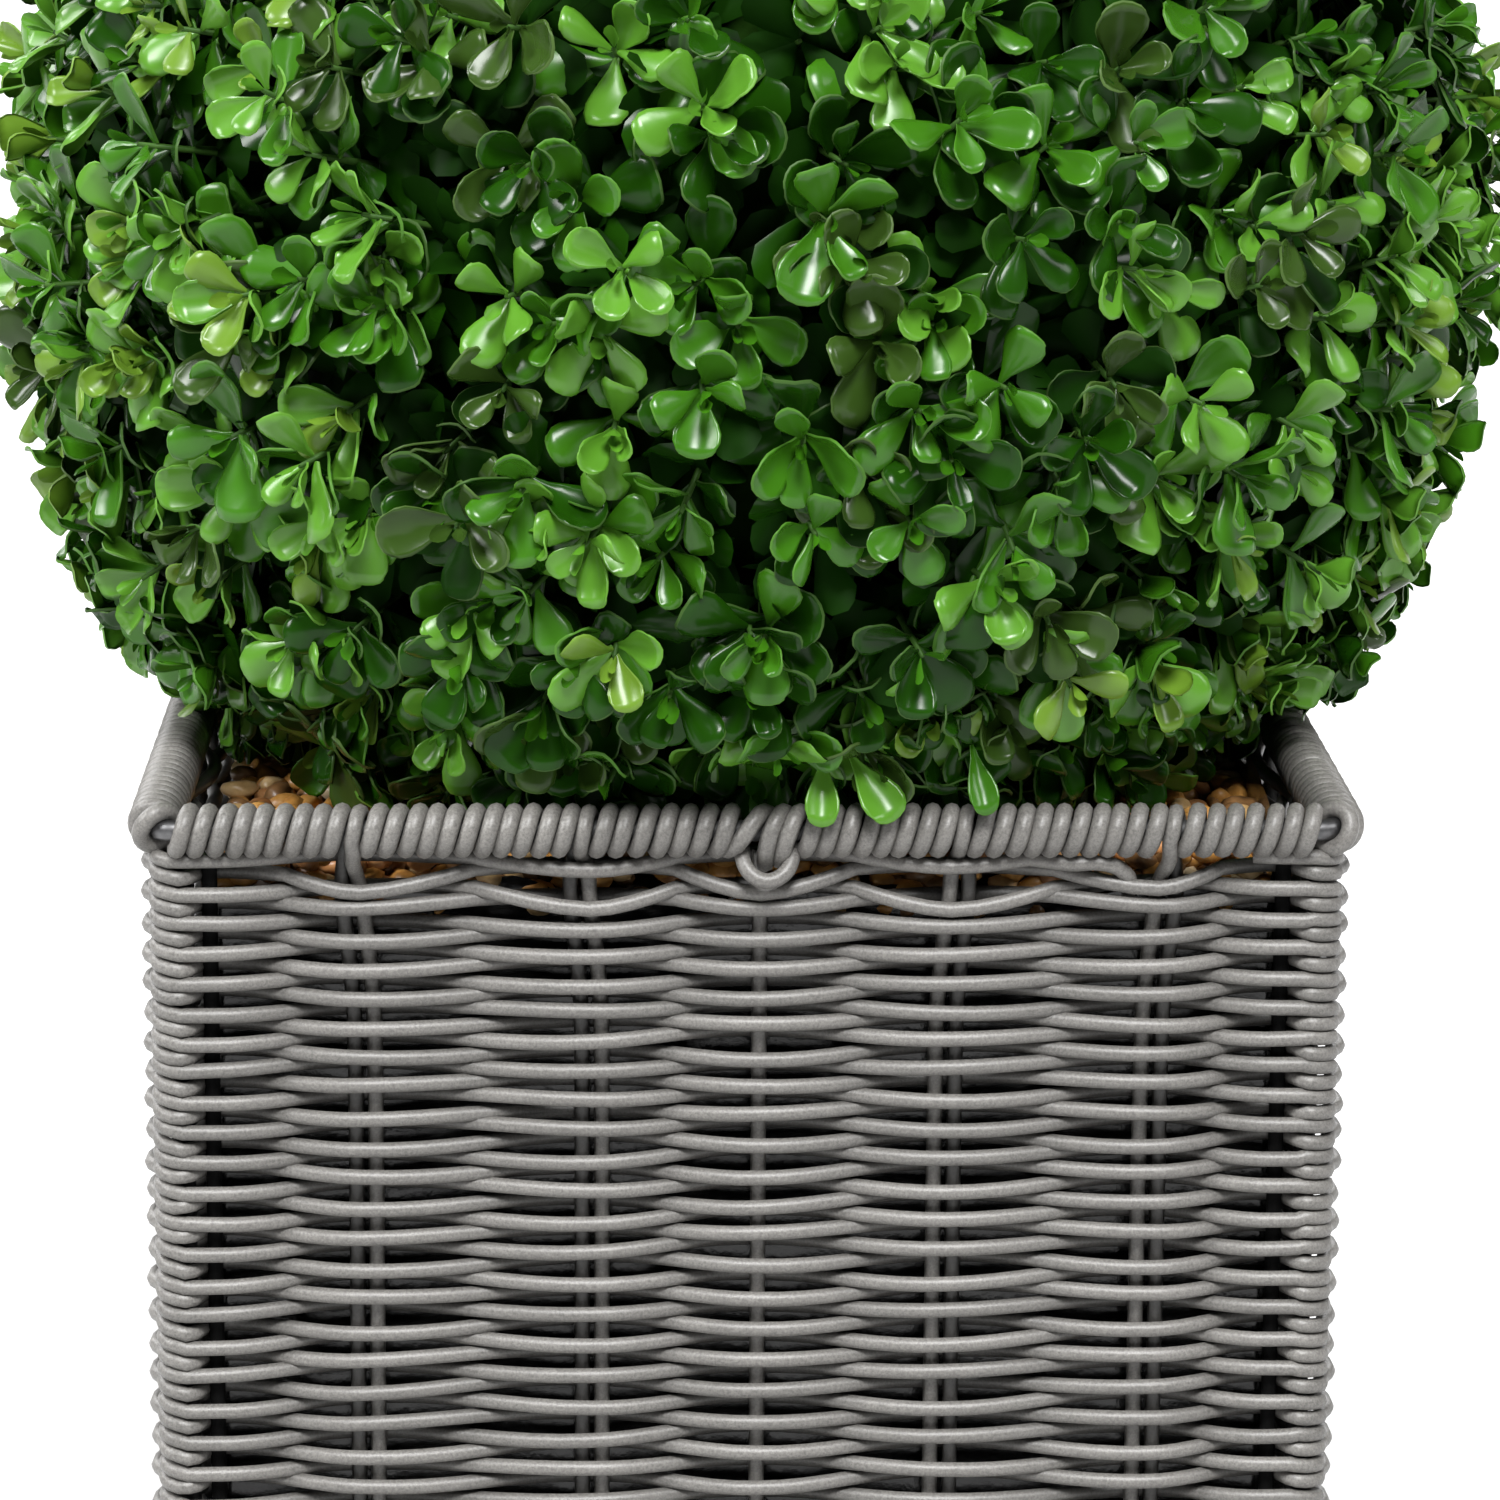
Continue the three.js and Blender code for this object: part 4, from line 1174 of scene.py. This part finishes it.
def spot_at(turn, z):
    """The direction from the ball's middle at a turn round it and a height on it."""
    across = math.sqrt(1 - z * z)
    return np.array([across * math.cos(turn), across * math.sin(turn), z])


def even_spot(index, count, stray):
    """One of an even spread of directions over the ball, a little astray."""
    turn = index * math.pi * (3 - math.sqrt(5))
    return unit(spot_at(turn, 1 - 2 * (index + 0.5) / count) + rng.normal(0, stray, 3))


def place_leaf(root, aim, out, lean, long, half, droop):
    """Directions of a leaf that leans from its sprig, raised in steps where something is in its way."""
    along = unit(aim * math.cos(lean) + out * math.sin(lean) + np.array([0, 0, -droop]))
    if lean > BUD_LEAN:
        along = unit(along - 2 * aim * max(along @ aim - CLOSE_ALONG, 0.0))
    roll = rng.normal(0, LEAF_ROLL)
    for _ in range(RAISES):
        level = unit(np.cross(along, aim + AIM_OFFSET))
        up = np.cross(level, along)
        across = level * math.cos(roll) + up * math.sin(roll)
        face = up * math.cos(roll) - level * math.sin(roll)
        wide = root + along * long * WIDEST_AT
        if is_free(np.stack([root + along * long, wide + across * half, wide - across * half])).all():
            return along, across, face
        along = unit(along + np.array([0, 0, RAISE]))
        if along @ aim > TOO_STEEP:
            return None
    return None


def grow_sprig(spot, aim, reach, tiers, kind, stems, leaves):
    """One sprig out of the core: a stem and crossed pairs of leaves, shortened where room ends."""
    side = unit(np.cross(aim, SPRIG_SIDE))
    other = np.cross(aim, side)
    first = rng.uniform(0, math.pi)
    size = rng.uniform(*SPRIG_SIZES)
    foot = BALL + spot * INNER_CORE_R
    while reach > LEAST_REACH and not is_free(foot + aim * (reach + TIP_ROOM)):
        reach -= REACH_STEP
    if not is_free(foot + aim * reach):
        return
    tip = foot + aim * reach
    grown = 0
    for tier, (down, lean, length, wide) in enumerate(tiers):
        for k in range(2):
            turn = first + tier * math.pi / 2 + k * math.pi + rng.normal(0, TURN_STRAY)
            out = side * math.cos(turn) + other * math.sin(turn)
            long = length * size * rng.uniform(*LENGTHS)
            half = long * wide * rng.uniform(*WIDTHS) / 2
            root = tip - aim * down + out * ROOT_OUT
            droop = (DROOP if tier else BUD_DROOP) + LOW_DROOP * max(LOW_FROM - spot[2], 0.0)
            droop *= 1 - UP_SPARED * max(out[2], 0.0)
            placed = place_leaf(root, aim, out, lean + rng.normal(0, LEAN_STRAY), long, half, droop)
            form = int(rng.integers(len(LEAF_CURVES)))
            if placed is None:
                continue
            grown += 1
            if tiers is FILL_TIERS or tier >= PLAIN_FROM:
                form = PLAIN_FORM
            elif tier == 0:
                form = SMALL_FORM
            leaves.append((KINDS[kind][tier], form, root, *placed, long, half))
    if grown:
        stems.append((foot - aim * STEM_INSIDE, tip))


def grow():
    """Every sprig: all over the ball, short ones painted dark as shade behind, and more above and beside
    the rim.
    """
    stems, leaves = [], []
    for index in range(SPRIGS):
        spot = even_spot(index, SPRIGS, FOOT_STRAY)
        level = np.array([0, 0, -LOW_LEVEL * min(spot[2], 0.0) - SPRIG_DROP])
        aim = unit(spot + level + rng.normal(0, AIM_STRAY, 3))
        kind = pick_kind(spot)
        grow_sprig(spot, aim, rng.uniform(*REACHES), TIERS, kind, stems, leaves)
    for index in range(FILL_SPRIGS):
        spot = even_spot(index, FILL_SPRIGS, FILL_FOOT_STRAY)
        aim = unit(spot + rng.normal(0, AIM_STRAY, 3))
        grow_sprig(spot, aim, rng.uniform(*FILL_REACHES), FILL_TIERS, "shade", stems, leaves)
    for index in range(SKIRT_SPRIGS):
        turn = (index + rng.uniform(-SKIRT_TURN_STRAY, SKIRT_TURN_STRAY)) * FULL_TURN / SKIRT_SPRIGS
        spot = spot_at(turn, rng.uniform(*SKIRT_BAND))
        level = np.array([0, 0, -LOW_LEVEL * spot[2] - SKIRT_DROP])
        aim = unit(spot + level + rng.normal(0, SKIRT_AIM_STRAY, 3))
        reach = rng.uniform(*REACHES)
        grow_sprig(spot, aim, reach, TIERS[:SKIRT_TIERS], pick_kind(spot), stems, leaves)
    for index in range(FLANK_SPRIGS):
        turn = math.pi * (index % 2) + rng.uniform(-FLANK_TURN, FLANK_TURN)
        spot = spot_at(turn, rng.uniform(*FLANK_BAND))
        level = np.array([0, 0, -FLANK_LEVEL * spot[2]])
        aim = unit(spot + level + rng.normal(0, FLANK_AIM_STRAY, 3))
        reach = rng.uniform(*FLANK_REACHES)
        grow_sprig(spot, aim, reach, TIERS, pick_kind(spot), stems, leaves)
    return stems, leaves


def join_leaves(name, colour, leaves):
    """One joined piece of leaves of a colour, form by form."""
    sheet = Gathered()
    for form, (verts, faces, edge) in enumerate(FORMS):
        chosen = [leaf for leaf in leaves if leaf[1] == form]
        if not chosen:
            continue
        root, along, across, face = (np.array([leaf[i] for leaf in chosen]) for i in (2, 3, 4, 5))
        long, half = (np.array([leaf[i] for leaf in chosen]) for i in (6, 7))
        placed = (
            root[:, None]
            + verts[None, :, :1] * half[:, None, None] * across[:, None]
            + verts[None, :, 1:2] * long[:, None, None] * along[:, None]
            + verts[None, :, 2:] * long[:, None, None] * face[:, None]
        )
        offset = np.arange(len(chosen))[:, None, None] * len(verts)
        sheet.add(placed, [(faces[None] + offset).reshape(-1, 4)], np.tile(edge, len(chosen)))
    make_piece(name, sheet, [leaf_mats[colour], edge_mats[colour]], ["foliage_ball"])


# The core is painted dark as the shade deep among the leaves
def build_core():
    core = Gathered()
    polar = np.linspace(CORE_POLE, math.pi - CORE_POLE, CORE_RINGS)
    turn = np.arange(CORE_SECTORS) * FULL_TURN / CORE_SECTORS
    polar, turn = np.meshgrid(polar, turn, indexing="ij")
    ball = np.stack([np.sin(polar) * np.cos(turn), np.sin(polar) * np.sin(turn), np.cos(polar)], -1)
    bump = CORE_BUMP
    for axis, rate in enumerate(CORE_BUMP_RATES):
        bump = bump * np.sin(ball[..., axis] * rate)
    verts = BALL + ball * (INNER_CORE_R + bump)[..., None]
    core.add(verts, [grid_faces(CORE_RINGS, CORE_SECTORS, ring_columns=True, flip=True)])
    make_piece("foliage_core", core, [core_shade_mat], ["foliage_ball"])


def build_foliage():
    stems, leaves = grow()
    twigs = Gathered()
    for foot, tip in stems:
        path = np.linspace(foot, tip, len(TWIG_RADII))
        twigs.add(*tube(path, TWIG_RADII, sides=5, ref=unit(np.cross(tip - foot, TWIG_SIDE))))
    make_piece("sprig_stems", twigs, [twig_mat], ["foliage_ball"])
    for x, tip, slant, long, wide, colour in HANGING_LEAVES:
        along = unit(np.array([slant, *HANGING_AIM]))
        root = np.array([x, -PLANTER_HALF - HANGING_CLEAR, tip]) - along * long
        across = unit(np.cross(along, [HANGING_TURN * slant, *HANGING_FACE]))
        face = np.cross(across, along)
        leaves.append((colour, HANGING_FORM, root, along, across, face, long, long * wide / 2))
    for colour in LEAVES:
        chosen = sorted((leaf for leaf in leaves if leaf[0] == colour), key=lambda leaf: leaf[1])
        triangles = sum(2 * len(FORMS[leaf[1]][1]) for leaf in chosen)
        parts = triangles // LEAF_PIECE_MOST + 1
        for part in range(parts):
            name = f"leaves_{colour}_{part + 1}" if parts > 1 else f"leaves_{colour}"
            join_leaves(name, colour, chosen[part::parts])
    build_core()


# Floor, light and camera

# Corners of the floor in metres
FLOOR_CORNERS = ((-12, -12, 0), (12, -12, 0), (12, 24, 0), (-12, 24, 0))
FLOOR_GREY = 0.54
FLOOR_ROUGHNESS = 0.9
WORLD_STRENGTH = 0.1
# Direction in which each light shines, its strength and its spread in degrees
LIGHTS = {
    "key_light": ((-0.04, 0.74, -0.96), 5.45, 22.0),
    "left_light": ((1.0, 0.3, -0.75), 3.0, 20.0),
    "right_light": ((-1.0, 0.3, -0.75), 0.95, 20.0),
    "back_left_light": ((0.7, -0.8, -0.7), 2.2, 40.0),
    "back_right_light": ((-0.3, -1.0, -0.7), 1.6, 40.0),
}
# Camera: place, turn to the right, tilt down, roll, and focal length in pixels of the photo
CAMERA_AT = (-29.12, -1198.69, 508.78)
YAW = 0.0272
PITCH = 0.2256
ROLL = 0.006
FOCAL_PIXELS = 5530.1
PHOTO_PIXELS = 1500.0
SENSOR = 36.0
# Clipping in metres
CLIP_START = 0.05
CLIP_END = 60.0


def build_stage():
    material, shader = node_material("floor_white", FLOOR_ROUGHNESS)
    shader.inputs["Base Color"].default_value = (*grey(FLOOR_GREY), 1.0)
    mesh = bpy.data.meshes.new("studio_floor")
    mesh.from_pydata(FLOOR_CORNERS, [], [(0, 1, 2, 3)])
    mesh.materials.append(material)
    floor = link_object("studio_floor", mesh)
    world = bpy.data.worlds.new("studio_world")
    world.use_nodes = True
    background = world.node_tree.nodes["Background"]
    background.inputs["Color"].default_value = (1.0, 1.0, 1.0, 1.0)
    background.inputs["Strength"].default_value = WORLD_STRENGTH
    bpy.context.scene.world = world
    for name, (aim, strength, spread) in LIGHTS.items():
        light = bpy.data.lights.new(name, "SUN")
        light.energy = strength
        light.angle = math.radians(spread)
        lamp = link_object(name, light)
        lamp.rotation_mode = "QUATERNION"
        lamp.rotation_quaternion = Vector(aim).to_track_quat("-Z", "Y")
    bpy.context.scene.view_settings.view_transform = "Standard"


def build_camera():
    """The photo's own view: a long lens from above the rim, a little left of the middle."""
    data = bpy.data.cameras.new("photo_camera")
    data.sensor_width = SENSOR
    data.lens = SENSOR * FOCAL_PIXELS / PHOTO_PIXELS
    data.clip_start = CLIP_START
    data.clip_end = CLIP_END
    camera = link_object("photo_camera", data)
    forward = Vector((math.sin(YAW) * math.cos(PITCH), math.cos(YAW) * math.cos(PITCH), -math.sin(PITCH)))
    level = Vector((math.cos(YAW), -math.sin(YAW), 0.0))
    above = level.cross(forward)
    right = level * math.cos(ROLL) + above * math.sin(ROLL)
    up = above * math.cos(ROLL) - level * math.sin(ROLL)
    turn = Matrix((right, up, -forward)).transposed().to_4x4()
    camera.matrix_world = Matrix.Translation(Vector(CAMERA_AT) * MM) @ turn
    bpy.context.scene.camera = camera


build_weave()
build_floor()
build_stakes()
build_rim()
build_liner()
build_fill()
build_stem()
build_foliage()
build_stage()
build_camera()
